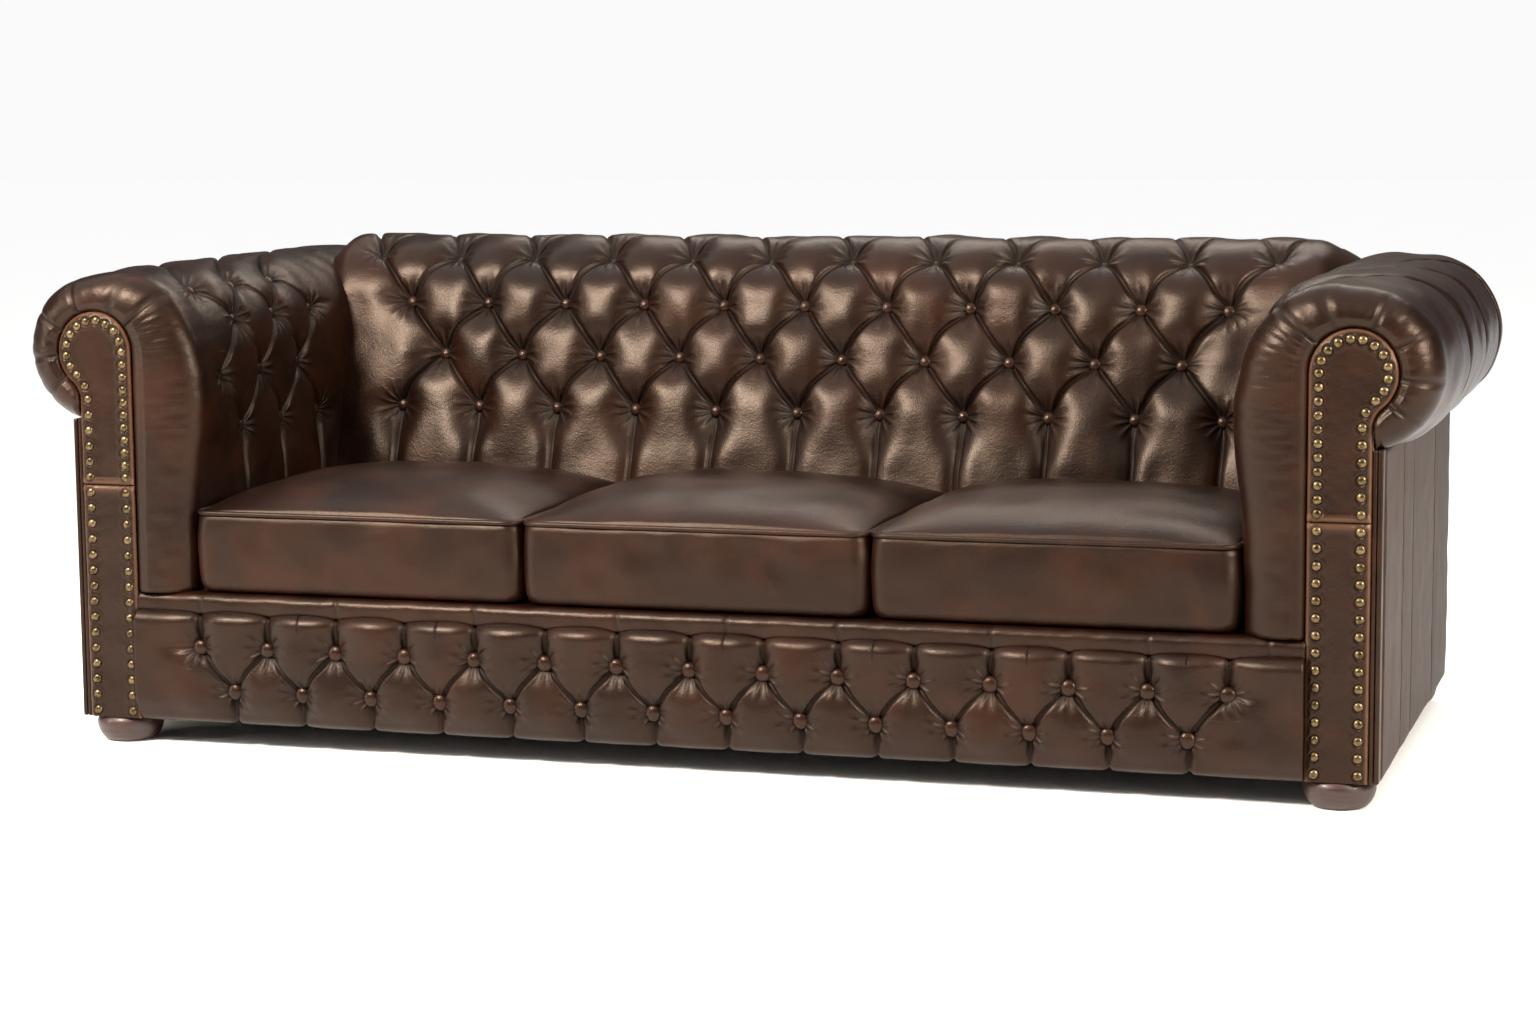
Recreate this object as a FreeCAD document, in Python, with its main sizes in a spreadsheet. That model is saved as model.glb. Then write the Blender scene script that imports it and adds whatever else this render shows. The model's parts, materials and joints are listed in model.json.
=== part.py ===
import FreeCAD, Part
import Sketcher
import math
import os
import re

# Chesterfield sofa, three seats. Millimetres. +X is to the right of someone who
# looks at the front, +Y is to the back and +Z is up. The origin is on the floor,
# under the middle of the sofa's box.

# Driving sizes. Each is a real size of the sofa and is written once.
SIZES = {
    # arm fronts
    "facing_width": 89,
    "facing_thickness": 12,
    "facing_seam_height": 409,
    "scroll_board_thickness": 22,
    "scroll_drop": 1,
    "scroll_radius": 62,
    "neck_radius": 35,
    "edge_strip_width": 15,
    "edge_strip_depth": 26,
    # body of the sofa
    "ground_gap": 41,
    "dust_cover_thickness": 2,
    "base_depth": 906,
    "outside_panel": 10,
    "deck_height": 243,
    "deck_thickness": 18,
    "band_height": 33,
    "rail_pad_setback": 4,
    "band_setback": 2,
    "front_pad_thickness": 36,
    # arms
    "half_seat_width": 815,
    "arm_border_width": 93,
    "arm_pad_setback": 6,
    "arm_roll_height": 618,
    "arm_roll_radius": 112,
    "arm_roll_inset": 34,
    "arm_shoulder_radius": 120,
    "arm_border_radius": 34,
    "arm_board_thickness": 8,
    # back
    "back_lean": 16,
    "back_shoulder_radius": 120,
    "back_shoulder_depth": 174.6,
    "back_roll_rise": 22,
    "back_roll_radius": 112,
    "back_roll_inset": 86,
    "back_roll_overlap": 51,
    "back_pad_thickness": 110,
    "back_board_thickness": 8,
    # hardwood frame
    "rail_thickness": 28,
    "rear_rail_depth": 700,
    "tack_rail_height": 90,
    "top_rail_height": 90,
    "top_rail_rise": 18,
    "arm_top_rail_height": 40,
    "arm_top_rail_rise": 45,
    "rear_post_depth": 50,
    "rib_thickness": 22,
    "inner_rib_offset": 300,
    "stretcher_width": 60,
    "stretcher_offset": 272,
    "corner_block_length": 90,
    # webbing
    "strap_width": 60,
    "strap_thickness": 3,
    # seat cushions
    "cushion_side_height": 124,
    "cushion_crown_height": 36,
    "cushion_front_depth": 8,
    "cushion_rear_gap": 14,
    "cushion_corner_radius": 16,
    "cushion_gap": 1,
    "cushion_cover_thickness": 3,
    "fit_gap": 0.3,
    # upholstery buttons and nails
    "button_radius": 9,
    "button_height": 6,
    "rail_button_radius": 11.5,
    "rail_button_height": 8,
    "rail_button_pitch": 114.4,
    "rail_button_upper_height": 159,
    "rail_button_lower_height": 92,
    "back_button_pitch": 139.4,
    "arm_button_start_depth": 115,
    "back_row_spacing": 85,
    "back_lowest_row_height": 487,
    "arm_upper_row_angle": 23,
    "shoulder_button_angle": 52,
    "nail_radius": 6,
    "nail_height": 4,
    "nail_margin": 14,
    "nail_end_margin": 12,
    # feet
    "foot_radius": 52,
    "foot_inset": 48,
    "foot_swell": 15,
    "foot_block_depth": 76,
    "foot_block_height": 60,
    "bolt_radius": 5,
    "bolt_grip_length": 25,
    "bolt_reach_length": 50,
}
BACK_BUTTON_COUNTS = (11, 10, 11)
SHOULDER_BUTTON_COUNT = 12
ARM_BUTTON_COUNT = 3
RAIL_BUTTON_COUNT = 15
STRAPS_ACROSS_DEPTH = 6
STRAPS_ALONG_LENGTH = 14
LOWER_NAILS = 15
UPPER_INNER_NAILS = 10
HEAD_NAILS = 11
NECK_NAILS = 2
UPPER_OUTER_NAILS = 6
BUTTON_SIDES = 8
NAIL_SIDES = 6
SIDES = (("right", 1), ("left", -1))

doc = FreeCAD.newDocument("chesterfield_sofa")
sheet = doc.addObject("Spreadsheet::Sheet", "Sizes")
for row, (alias, size) in enumerate(SIZES.items(), start=1):
    sheet.set(f"A{row}", alias.replace("_", " "))
    sheet.set(f"B{row}", str(size))
    sheet.setAlias(f"B{row}", alias)
doc.recompute()

ALIAS = re.compile(r"\b(" + "|".join(sorted(SIZES, key=len, reverse=True)) + r")\b")
pieces = {}


def bound(text):
    """The expression with each size named in the sheet."""
    return ALIAS.sub(r"Sizes.\1", str(text))


def value(text):
    """The number that an expression gives now."""
    result = sheet.evalExpression(bound(text))
    return float(getattr(result, "Value", result))


# Places that several pieces share, worked out from the driving sizes.
SCROLL_HEIGHT = "(arm_roll_height - scroll_drop)"
BACK_ROLL_HEIGHT = "(arm_roll_height + back_roll_rise)"
HALF_DEPTH = "((base_depth - back_roll_inset + back_roll_radius + nail_height) / 2)"
FRONT = f"(nail_height - {HALF_DEPTH})"
FACING_IN = "(half_seat_width + arm_border_width)"
BETWEEN_FACINGS = f"(2 * {FACING_IN})"
RAIL_SEAM = "(deck_height - band_height)"
FACING_OUT = f"({FACING_IN} + facing_width)"
OUTSIDE = f"({FACING_OUT} + edge_strip_width)"
SCROLL_X = f"({FACING_IN} + scroll_radius)"
ARM_ROLL_X = f"({OUTSIDE} - arm_roll_inset)"
FRAME_BOTTOM = "(ground_gap + dust_cover_thickness)"
FRAME_TOP = "(deck_height - deck_thickness - 2 * strap_thickness)"
BOARD_BACK = "(facing_thickness + scroll_board_thickness)"
PANEL_INSIDE = "(base_depth - outside_panel)"


def deep(text):
    """The Y of a depth measured back from the arm fronts."""
    return f"({FRONT} + {text})"


def under_roll(height, radius, inset):
    """Height where a roll's underside crosses a plane at this inset from its axis."""
    return f"({height} - sqrt({radius}^2 - {inset}^2))"


ARM_SHOULDER_Z = "(arm_roll_height + arm_roll_radius - arm_shoulder_radius)"
ARM_ROLL_FOOT = under_roll("arm_roll_height", "arm_roll_radius", "arm_roll_inset")
BACK_ROLL_FOOT = under_roll(BACK_ROLL_HEIGHT, "back_roll_radius", "back_roll_inset")
BACK_AXIS = "(base_depth - back_roll_inset)"
BACK_TOP = f"({BACK_ROLL_HEIGHT} + back_roll_radius)"
BACK_END = "(half_seat_width + back_roll_overlap)"
BACK_SPAN = f"(2 * {BACK_END})"
SHOULDER_Y = "(base_depth - back_shoulder_depth)"
SHOULDER_Z = f"({BACK_TOP} - back_shoulder_radius)"
LEAN_Y = f"({SHOULDER_Y} - back_shoulder_radius * cos(back_lean))"
LEAN_Z = f"({SHOULDER_Z} + back_shoulder_radius * sin(back_lean))"


def back_face(height):
    """Depth of the leaning back pad's face at a height under its shoulder."""
    return f"({LEAN_Y} - ({LEAN_Z} - {height}) * tan(back_lean))"


def keep(label, piece):
    """Name a finished piece; it becomes one node."""
    piece.Label = label
    pieces[label] = piece
    return piece


def outline(body, plane, start, corners):
    """A closed sketch on an origin plane. A corner is (x, y), or (x, y, turn, cx, cy)
    where an arc round (cx, cy) leads to the next corner, turning cw or ccw."""
    sketch = body.newObject("Sketcher::SketchObject", "Outline")
    support = [p for p in body.Origin.OriginFeatures if p.Role == plane][0]
    sketch.AttachmentSupport = (support, [""])
    sketch.MapMode = "FlatFace"
    points = [FreeCAD.Vector(value(c[0]), value(c[1]), 0) for c in corners]
    ends = []
    for index, corner in enumerate(corners):
        here = points[index]
        there = points[(index + 1) % len(points)]
        if len(corner) == 2:
            sketch.addGeometry(Part.LineSegment(here, there))
            ends.append((1, 2))
            continue
        centre = FreeCAD.Vector(value(corner[3]), value(corner[4]), 0)
        circle = Part.Circle(centre, FreeCAD.Vector(0, 0, 1), (here - centre).Length)
        angles = [math.atan2(p.y - centre.y, p.x - centre.x) for p in (here, there)]
        if corner[2] == "cw":
            angles.reverse()
        sketch.addGeometry(Part.ArcOfCircle(circle, *angles))
        ends.append((1, 2) if corner[2] == "ccw" else (2, 1))
    for index, corner in enumerate(corners):
        after = (index + 1) % len(corners)
        sketch.addConstraint(
            Sketcher.Constraint("Coincident", index, ends[index][1], after, ends[after][0]))
        bind(sketch, "DistanceX", index, ends[index][0], points[index].x, corner[0])
        bind(sketch, "DistanceY", index, ends[index][0], points[index].y, corner[1])
        if len(corner) == 2:
            continue
        chord = points[after] - points[index]
        if abs(chord.x) >= abs(chord.y):
            bind(sketch, "DistanceY", index, 3, value(corner[4]), corner[4])
        else:
            bind(sketch, "DistanceX", index, 3, value(corner[3]), corner[3])
    sketch.setExpression("AttachmentOffset.Base.z", bound(start))
    return sketch


def bind(sketch, kind, index, point, number, text):
    """Hold one coordinate of a point of the sketch to an expression."""
    place = sketch.addConstraint(Sketcher.Constraint(kind, -1, 1, index, point, number))
    sketch.setExpression(f"Constraints[{place}]", bound(text))


def solid(name, plane, start, length, corners):
    """An outline padded from start along +X, +Y or +Z."""
    body = doc.addObject("PartDesign::Body", name)
    offset = f"-({start} + {length})" if plane == "XZ_Plane" else start
    sketch = outline(body, plane, offset, corners)
    pad = body.newObject("PartDesign::Pad", "Pad")
    pad.Profile = sketch
    pad.setExpression("Length", bound(length))
    return body


def box(name, corner, size):
    """A plain board, from its lowest corner and its three sizes."""
    board = doc.addObject("Part::Box", name)
    for side, text in zip(("Length", "Width", "Height"), size):
        board.setExpression(side, bound(text))
    for axis, text in zip("xyz", corner):
        board.setExpression(f"Placement.Base.{axis}", bound(text))
    return board


def cut(name, base, tools):
    """One piece with others taken out of it."""
    tool = tools[0]
    if len(tools) > 1:
        tool = doc.addObject("Part::MultiFuse", "Tools")
        tool.Shapes = tools
    result = doc.addObject("Part::Cut", name)
    result.Base = base
    result.Tool = tool
    return result


def group(name, members):
    """Alike pieces that share one node."""
    result = doc.addObject("Part::Compound", name)
    result.Links = members
    return result


def mirrored(name, source):
    """The same piece on the other side of the sofa."""
    twin = doc.addObject("Part::Mirroring", name)
    twin.Source = source
    twin.Normal = (1, 0, 0)
    return twin


def both_sides(name, source):
    """Keep a right-hand piece and its left-hand twin."""
    keep(f"{name}_right", source)
    keep(f"{name}_left", mirrored(f"{name}_left", source))


CUSHION_LOW = "(deck_height + fit_gap)"

# The scroll outline that facing, board and nails share: straight inner edge,
# round head, and a neck that curves back into the outer edge.
NECK_X = f"({FACING_OUT} + neck_radius)"
NECK_Z = f"({SCROLL_HEIGHT} - sqrt((scroll_radius + neck_radius)^2 - ({NECK_X} - {SCROLL_X})^2))"
NECK_SHARE = "(scroll_radius / (scroll_radius + neck_radius))"
HEAD_END = (
    f"({SCROLL_X} + ({NECK_X} - {SCROLL_X}) * {NECK_SHARE})",
    f"({SCROLL_HEIGHT} + ({NECK_Z} - {SCROLL_HEIGHT}) * {NECK_SHARE})",
)


def scroll(low):
    """Corners of the scroll outline, starting at a height."""
    return [
        (FACING_OUT, low),
        (FACING_OUT, NECK_Z, "cw", NECK_X, NECK_Z),
        (*HEAD_END, "ccw", SCROLL_X, SCROLL_HEIGHT),
        (FACING_IN, SCROLL_HEIGHT),
        (FACING_IN, low),
    ]


def make_arm_fronts():
    """Leather facings in two panels, the boards behind them and the edge strips."""
    upper = solid("facing", "XZ_Plane", FRONT, "facing_thickness", scroll("facing_seam_height"))
    lower = box(
        "lower_facing",
        (FACING_IN, FRONT, "ground_gap"),
        ("facing_width", "facing_thickness", "facing_seam_height - ground_gap"))
    board = solid(
        "board", "XZ_Plane", deep("facing_thickness"), "scroll_board_thickness",
        scroll(FRAME_BOTTOM))
    strip = box(
        "strip",
        (FACING_OUT, deep("rail_pad_setback"), "ground_gap"),
        ("edge_strip_width", "edge_strip_depth", f"{ARM_ROLL_FOOT} - ground_gap"))
    both_sides("facing_upper", upper)
    both_sides("facing_lower", lower)
    both_sides("scroll_board", board)
    both_sides("edge_strip", strip)
    return upper, board


def make_outside_panels():
    """The plain panels outside the arms and the back."""
    start = "(rail_pad_setback + edge_strip_depth)"
    arm = box(
        "outside_arm",
        (f"{OUTSIDE} - outside_panel", deep(start), "ground_gap"),
        ("outside_panel", f"base_depth - {start}", f"{ARM_ROLL_FOOT} - ground_gap"))
    both_sides("outside_arm", arm)
    inside = f"({OUTSIDE} - outside_panel)"
    back = solid("outside_back_panel", "XZ_Plane", deep(PANEL_INSIDE), "outside_panel", [
        (f"-{inside}", "ground_gap"),
        (inside, "ground_gap"),
        (inside, ARM_ROLL_FOOT),
        (BACK_END, BACK_ROLL_FOOT),
        (f"-{BACK_END}", BACK_ROLL_FOOT),
        (f"-{inside}", ARM_ROLL_FOOT),
    ])
    keep("outside_back", back)
    return arm, back


RAIL_FRONT = "(rail_pad_setback + front_pad_thickness)"
SIDE_RAIL_OUT = f"({FACING_IN} + rail_thickness)"
RAIL_HEIGHT = f"({FRAME_TOP} - {FRAME_BOTTOM})"
ARM_RAIL_X = f"({ARM_ROLL_X} - rail_thickness / 2)"
ARM_RAIL_Z = "(arm_roll_height - arm_top_rail_rise)"
REAR_POST_Y = f"({PANEL_INSIDE} - rear_post_depth)"
TOP_RAIL_Y = f"({BACK_AXIS} - rail_thickness / 2)"
TOP_RAIL_Z = f"({BACK_ROLL_FOOT} + top_rail_rise)"


def make_seat_frame():
    """The box of hardwood rails that the feet, arms and back stand on."""
    keep("front_rail", box(
        "front_rail", (f"-{FACING_IN}", deep(RAIL_FRONT), FRAME_BOTTOM),
        (BETWEEN_FACINGS, "rail_thickness", RAIL_HEIGHT)))
    keep("rear_seat_rail", box(
        "rear_seat_rail", (f"-{FACING_IN}", deep("rear_rail_depth"), FRAME_BOTTOM),
        (BETWEEN_FACINGS, "rail_thickness", RAIL_HEIGHT)))
    side = box(
        "side_rail", (FACING_IN, deep(BOARD_BACK), FRAME_BOTTOM),
        ("rail_thickness", f"{PANEL_INSIDE} - {BOARD_BACK}", RAIL_HEIGHT))
    both_sides("side_rail", side)
    keep("back_tack_rail", box(
        "back_tack_rail",
        (f"-{FACING_IN}", deep(f"({PANEL_INSIDE} - rail_thickness)"), FRAME_BOTTOM),
        (BETWEEN_FACINGS, "rail_thickness", "tack_rail_height")))
    inner = f"({RAIL_FRONT} + rail_thickness)"
    stretchers = []
    for _, hand in SIDES:
        stretchers.append(box(
            "stretcher",
            (f"{hand} * stretcher_offset - stretcher_width / 2", deep(inner), FRAME_BOTTOM),
            ("stretcher_width", f"rear_rail_depth - {inner}", "rail_thickness")))
    keep("seat_stretchers", group("stretchers", stretchers))
    corners = [(f"{FACING_IN} - corner_block_length", inner), (FACING_IN, inner)]
    front_block = solid("front_block", "XY_Plane", FRAME_BOTTOM, "corner_block_length", [
        (corners[0][0], deep(corners[0][1])),
        (corners[1][0], deep(corners[1][1])),
        (FACING_IN, deep(f"({inner} + corner_block_length)")),
    ])
    rear_block = solid("rear_block", "XY_Plane", FRAME_BOTTOM, "corner_block_length", [
        (f"{FACING_IN} - corner_block_length", deep("rear_rail_depth")),
        (FACING_IN, deep("(rear_rail_depth - corner_block_length)")),
        (FACING_IN, deep("rear_rail_depth")),
    ])
    blocks = [front_block, rear_block]
    blocks += [mirrored("block_twin", block) for block in (front_block, rear_block)]
    keep("corner_blocks", group("blocks", blocks))


def make_arm_frames():
    """The rails, boards and posts inside the arms."""
    board = box(
        "arm_board", (FACING_IN, deep(BOARD_BACK), "deck_height"),
        ("arm_board_thickness", f"rear_rail_depth - {BOARD_BACK}",
         f"{ARM_ROLL_FOOT} - deck_height"))
    top_rail = box(
        "arm_top_rail", (ARM_RAIL_X, deep(BOARD_BACK), ARM_RAIL_Z),
        ("rail_thickness", f"{PANEL_INSIDE} - {BOARD_BACK}", "arm_top_rail_height"))
    post = box(
        "arm_rear_post", (ARM_RAIL_X, deep(REAR_POST_Y), FRAME_BOTTOM),
        ("rail_thickness", "rear_post_depth", f"{ARM_RAIL_Z} - {FRAME_BOTTOM}"))
    both_sides("arm_board", board)
    both_sides("arm_top_rail", top_rail)
    both_sides("arm_rear_post", post)
    return top_rail, post


def make_back_frame():
    """Plywood ribs that carry the leaning back board and the top rail."""
    rail_end = f"({BACK_AXIS} + rail_thickness / 2)"
    pad_rear = f"({back_face('deck_height')} + back_pad_thickness)"
    board_rear = f"({pad_rear} + back_board_thickness)"
    board_top = f"({back_face(TOP_RAIL_Z)} + back_pad_thickness)"
    ribs = []
    places = ["inner_rib_offset", f"({BACK_END} - rib_thickness)"]
    for place in places:
        rib = solid("rib", "YZ_Plane", place, "rib_thickness", [
            (deep(board_rear), "deck_height"),
            (deep("(rear_rail_depth + rail_thickness)"), "deck_height"),
            (deep("(rear_rail_depth + rail_thickness)"), FRAME_BOTTOM),
            (deep(f"({PANEL_INSIDE} - rail_thickness)"), FRAME_BOTTOM),
            (deep(f"({PANEL_INSIDE} - rail_thickness)"), f"{FRAME_BOTTOM} + tack_rail_height"),
            (deep(PANEL_INSIDE), f"{FRAME_BOTTOM} + tack_rail_height"),
            (deep(PANEL_INSIDE), BACK_ROLL_FOOT),
            (deep(rail_end), BACK_ROLL_FOOT),
            (deep(rail_end), TOP_RAIL_Z),
            (deep(f"({board_top} + back_board_thickness)"), TOP_RAIL_Z),
        ])
        ribs += [rib, mirrored("rib_twin", rib)]
    keep("back_ribs", group("ribs", ribs))
    keep("back_board", solid("board_panel", "YZ_Plane", f"-{BACK_END}", BACK_SPAN, [
        (deep(pad_rear), "deck_height"),
        (deep(board_rear), "deck_height"),
        (deep(f"({board_top} + back_board_thickness)"), TOP_RAIL_Z),
        (deep(board_top), TOP_RAIL_Z),
    ]))
    keep("back_top_rail", box(
        "back_top_rail", (f"-{BACK_END}", deep(TOP_RAIL_Y), TOP_RAIL_Z),
        (BACK_SPAN, "rail_thickness", "top_rail_height")))


def make_suspension():
    """Interlaced webbing over the rails, and the padded seat deck on it."""
    span = f"(rear_rail_depth + rail_thickness - {RAIL_FRONT})"
    long_straps = []
    for index in range(STRAPS_ACROSS_DEPTH):
        share = (index + 0.5) / STRAPS_ACROSS_DEPTH
        long_straps.append(box(
            "long_strap",
            (f"-{SIDE_RAIL_OUT}", deep(f"({RAIL_FRONT} + {share} * {span} - strap_width / 2)"),
             FRAME_TOP),
            (f"2 * {SIDE_RAIL_OUT}", "strap_width", "strap_thickness")))
    keep("webbing_long", group("long_straps", long_straps))
    cross_straps = []
    for index in range(STRAPS_ALONG_LENGTH):
        share = (index + 0.5) / STRAPS_ALONG_LENGTH - 0.5
        cross_straps.append(box(
            "cross_strap",
            (f"{share} * {BETWEEN_FACINGS} - strap_width / 2", deep(RAIL_FRONT),
             f"{FRAME_TOP} + strap_thickness"),
            ("strap_width", span, "strap_thickness")))
    keep("webbing_cross", group("cross_straps", cross_straps))
    keep("seat_deck", box(
        "seat_deck", (f"-{SIDE_RAIL_OUT}", deep(RAIL_FRONT), "deck_height - deck_thickness"),
        (f"2 * {SIDE_RAIL_OUT}", span, "deck_thickness")))


def make_front_upholstery():
    """The tufted pad on the front rail and the plain band above it."""
    keep("rail_pad", box(
        "rail_pad", (f"-{FACING_IN}", deep("rail_pad_setback"), "ground_gap"),
        (BETWEEN_FACINGS, "front_pad_thickness", f"{RAIL_SEAM} - ground_gap")))
    keep("seat_band", box(
        "seat_band", (f"-{FACING_IN}", deep("band_setback"), RAIL_SEAM),
        (BETWEEN_FACINGS, f"{RAIL_FRONT} - band_setback", "band_height")))


def make_back_pad():
    """The leaning inside back, with its shoulder and roll."""
    pad_rear = f"({back_face('deck_height')} + back_pad_thickness)"
    board_top = f"({back_face(TOP_RAIL_Z)} + back_pad_thickness)"
    rail_end = f"({BACK_AXIS} + rail_thickness / 2)"
    rail_top = f"({TOP_RAIL_Z} + top_rail_height)"
    keep("back_pad", solid(
        "back_profile", "YZ_Plane", f"-{BACK_END}", BACK_SPAN, [
            (deep(back_face("deck_height")), "deck_height"),
            (deep(pad_rear), "deck_height"),
            (deep(board_top), TOP_RAIL_Z),
            (deep(TOP_RAIL_Y), TOP_RAIL_Z),
            (deep(TOP_RAIL_Y), rail_top),
            (deep(rail_end), rail_top),
            (deep(rail_end), BACK_ROLL_FOOT),
            (deep("base_depth"), BACK_ROLL_FOOT, "ccw", deep(BACK_AXIS), BACK_ROLL_HEIGHT),
            (deep(BACK_AXIS), BACK_TOP),
            (deep(SHOULDER_Y), BACK_TOP, "ccw", deep(SHOULDER_Y), SHOULDER_Z),
            (deep(LEAN_Y), LEAN_Z),
        ]))


def make_back_space():
    """All that lies behind the back's face on the right side, which the arm pad leaves free."""
    rear = deep(f"({BACK_AXIS} + back_roll_radius)")
    return solid("back_space", "YZ_Plane", "0", BACK_END, [
        (deep(back_face("deck_height")), "deck_height"),
        (rear, "deck_height"),
        (rear, BACK_TOP),
        (deep(SHOULDER_Y), BACK_TOP, "ccw", deep(SHOULDER_Y), SHOULDER_Z),
        (deep(LEAN_Y), LEAN_Z),
    ])


def make_arm_pads(neighbours):
    """Inside arm and outer roll in one pad, with a rounded front border and rear end."""
    profile = solid(
        "arm_profile", "XZ_Plane", deep("arm_pad_setback"),
        f"({BACK_AXIS} - arm_pad_setback)", [
            ("half_seat_width", "deck_height"),
            (FACING_IN, "deck_height"),
            (FACING_IN, ARM_ROLL_FOOT),
            (OUTSIDE, ARM_ROLL_FOOT, "ccw", ARM_ROLL_X, "arm_roll_height"),
            (ARM_ROLL_X, "arm_roll_height + arm_roll_radius"),
            ("half_seat_width + arm_shoulder_radius", "arm_roll_height + arm_roll_radius", "ccw",
             "half_seat_width + arm_shoulder_radius", ARM_SHOULDER_Z),
            ("half_seat_width", ARM_SHOULDER_Z),
        ])
    round_edges(profile, on_border, "arm_border_radius")
    end = doc.addObject("Part::Sphere", "arm_end")
    end.Angle1 = 0
    end.Placement.Rotation = FreeCAD.Rotation(FreeCAD.Vector(1, 0, 0), -90)
    end.setExpression("Radius", bound("arm_roll_radius"))
    end.setExpression("Placement.Base.x", bound(ARM_ROLL_X))
    end.setExpression("Placement.Base.y", bound(deep(BACK_AXIS)))
    end.setExpression("Placement.Base.z", "Sizes.arm_roll_height")
    whole = doc.addObject("Part::Fuse", "arm_whole")
    whole.Base = profile
    whole.Tool = end
    both_sides("arm_pad", cut("arm_pad_cut", whole, neighbours))


def on_border(edge):
    """True for the arm pad's front edge, outside the frame and above the deck."""
    near = value("fit_gap")
    middle = edge.CenterOfMass
    beside_frame = abs(middle.x - value(FACING_IN)) < near
    over_panel = abs(middle.z - value(ARM_ROLL_FOOT)) < near
    on_deck = middle.z < value("deck_height") + near
    in_front = edge.BoundBox.YMax < value(deep("arm_pad_setback")) + near
    return in_front and not (beside_frame or over_panel or on_deck)


def stands_upright(edge):
    """True for the four corner edges of a cushion."""
    bounds = edge.BoundBox
    return bounds.ZLength > bounds.YLength and bounds.XLength < value("fit_gap")


def round_edges(body, choose, radius):
    """Round the edges of a body that a test picks out."""
    doc.recompute()
    base = body.Tip
    chosen = [f"Edge{number}" for number, edge in enumerate(base.Shape.Edges, start=1)
              if choose(edge)]
    fillet = body.newObject("PartDesign::Fillet", "Rounding")
    fillet.Base = (base, chosen)
    fillet.setExpression("Radius", bound(radius))
    body.Tip = fillet


def crown_radius(half):
    """Radius of an arc that rises by the crown over a half width."""
    return f"(({half}^2 + cushion_crown_height^2) / (2 * cushion_crown_height))"


def cushion_block(name, start, width, inset):
    """A block crowned both ways, whose rear leans with the back pad, smaller by an inset."""
    low = f"({CUSHION_LOW} + {inset})"
    side = f"({CUSHION_LOW} + cushion_side_height)"
    front = f"(cushion_front_depth + {inset})"
    rear_low = f"({back_face(low)} - cushion_rear_gap - {inset})"
    rear_high = f"({back_face(side)} - cushion_rear_gap - {inset})"
    middle = f"(({front} + {rear_high}) / 2)"
    radius = crown_radius(f"(({rear_high} - {front}) / 2)")
    top = f"({side} + cushion_crown_height - {inset})"
    shoulder = f"({side} - {inset})"
    left = f"({start} + {inset})"
    clear_width = f"({width} - 2 * {inset})"
    block = solid(name, "YZ_Plane", left, clear_width, [
        (deep(front), low),
        (deep(rear_low), low),
        (deep(rear_high), shoulder, "ccw", deep(middle), f"({top} - {radius})"),
        (deep(front), shoulder),
    ])
    round_edges(block, stands_upright, f"cushion_corner_radius - {inset}")
    across = crown_radius(f"({clear_width} / 2)")
    crown = solid(f"{name}_crown", "XZ_Plane", deep(front), f"({rear_high} - {front})", [
        (left, low),
        (f"({left} + {clear_width})", low),
        (f"({left} + {clear_width})", shoulder, "ccw",
         f"({start} + {width} / 2)", f"({top} - {across})"),
        (left, shoulder),
    ])
    pillow = doc.addObject("Part::Common", f"{name}_pillow")
    pillow.Base = block
    pillow.Tool = crown
    return pillow


def make_cushions():
    """Three loose cushions side by side, each a foam core inside a leather cover."""
    width = "((2 * half_seat_width - 4 * cushion_gap) / 3)"
    for place, name in enumerate(("left", "middle", "right")):
        start = f"(-half_seat_width + cushion_gap + {place} * ({width} + cushion_gap))"
        outer = cushion_block(f"{name}_outer", start, width, "0")
        inner = cushion_block(f"{name}_inner", start, width, "cushion_cover_thickness")
        keep(f"cushion_cover_{name}", cut(f"cover_{name}", outer, [inner]))
        keep(f"cushion_core_{name}", inner)


def stud(name, radius, height, place, sides=BUTTON_SIDES):
    """A button or nail head with flat sides. It stands forward from its place."""
    head = doc.addObject("Part::Prism", name)
    head.Polygon = sides
    head.setExpression("Circumradius", bound(radius))
    head.setExpression("Height", bound(height))
    head.Placement.Rotation = FreeCAD.Rotation(FreeCAD.Vector(1, 0, 0), 90)
    for axis, text in zip("xyz", place):
        head.setExpression(f"Placement.Base.{axis}", bound(text))
    return head


def tip_up(head, lean):
    """Turn a forward-facing button upwards by an angle."""
    head.setExpression("Placement.Rotation.Angle", bound(f"90 - {lean}"))
    return head


def face_inward(head, lean):
    """Turn a button on the right arm towards the seat, tipped up by an angle."""
    head.Placement.Rotation = FreeCAD.Rotation(FreeCAD.Vector(0, -1, 0), 90)
    head.setExpression("Placement.Rotation.Angle", bound(f"90 - {lean}"))
    return head


def row_places(count, pitch):
    """Offsets of a centred row."""
    return [f"({index - (count - 1) / 2}) * {pitch}" for index in range(count)]


def make_rail_buttons():
    """Two staggered rows of larger buttons along the front rail."""
    buttons = []
    rows = (
        (RAIL_BUTTON_COUNT, "rail_button_upper_height"),
        (RAIL_BUTTON_COUNT - 1, "rail_button_lower_height"),
    )
    for count, height in rows:
        for across in row_places(count, "rail_button_pitch"):
            buttons.append(stud(
                "rail_button", "rail_button_radius", "rail_button_height",
                (across, deep("rail_pad_setback"), height)))
    keep("buttons_rail", group("rail_buttons", buttons))


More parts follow.
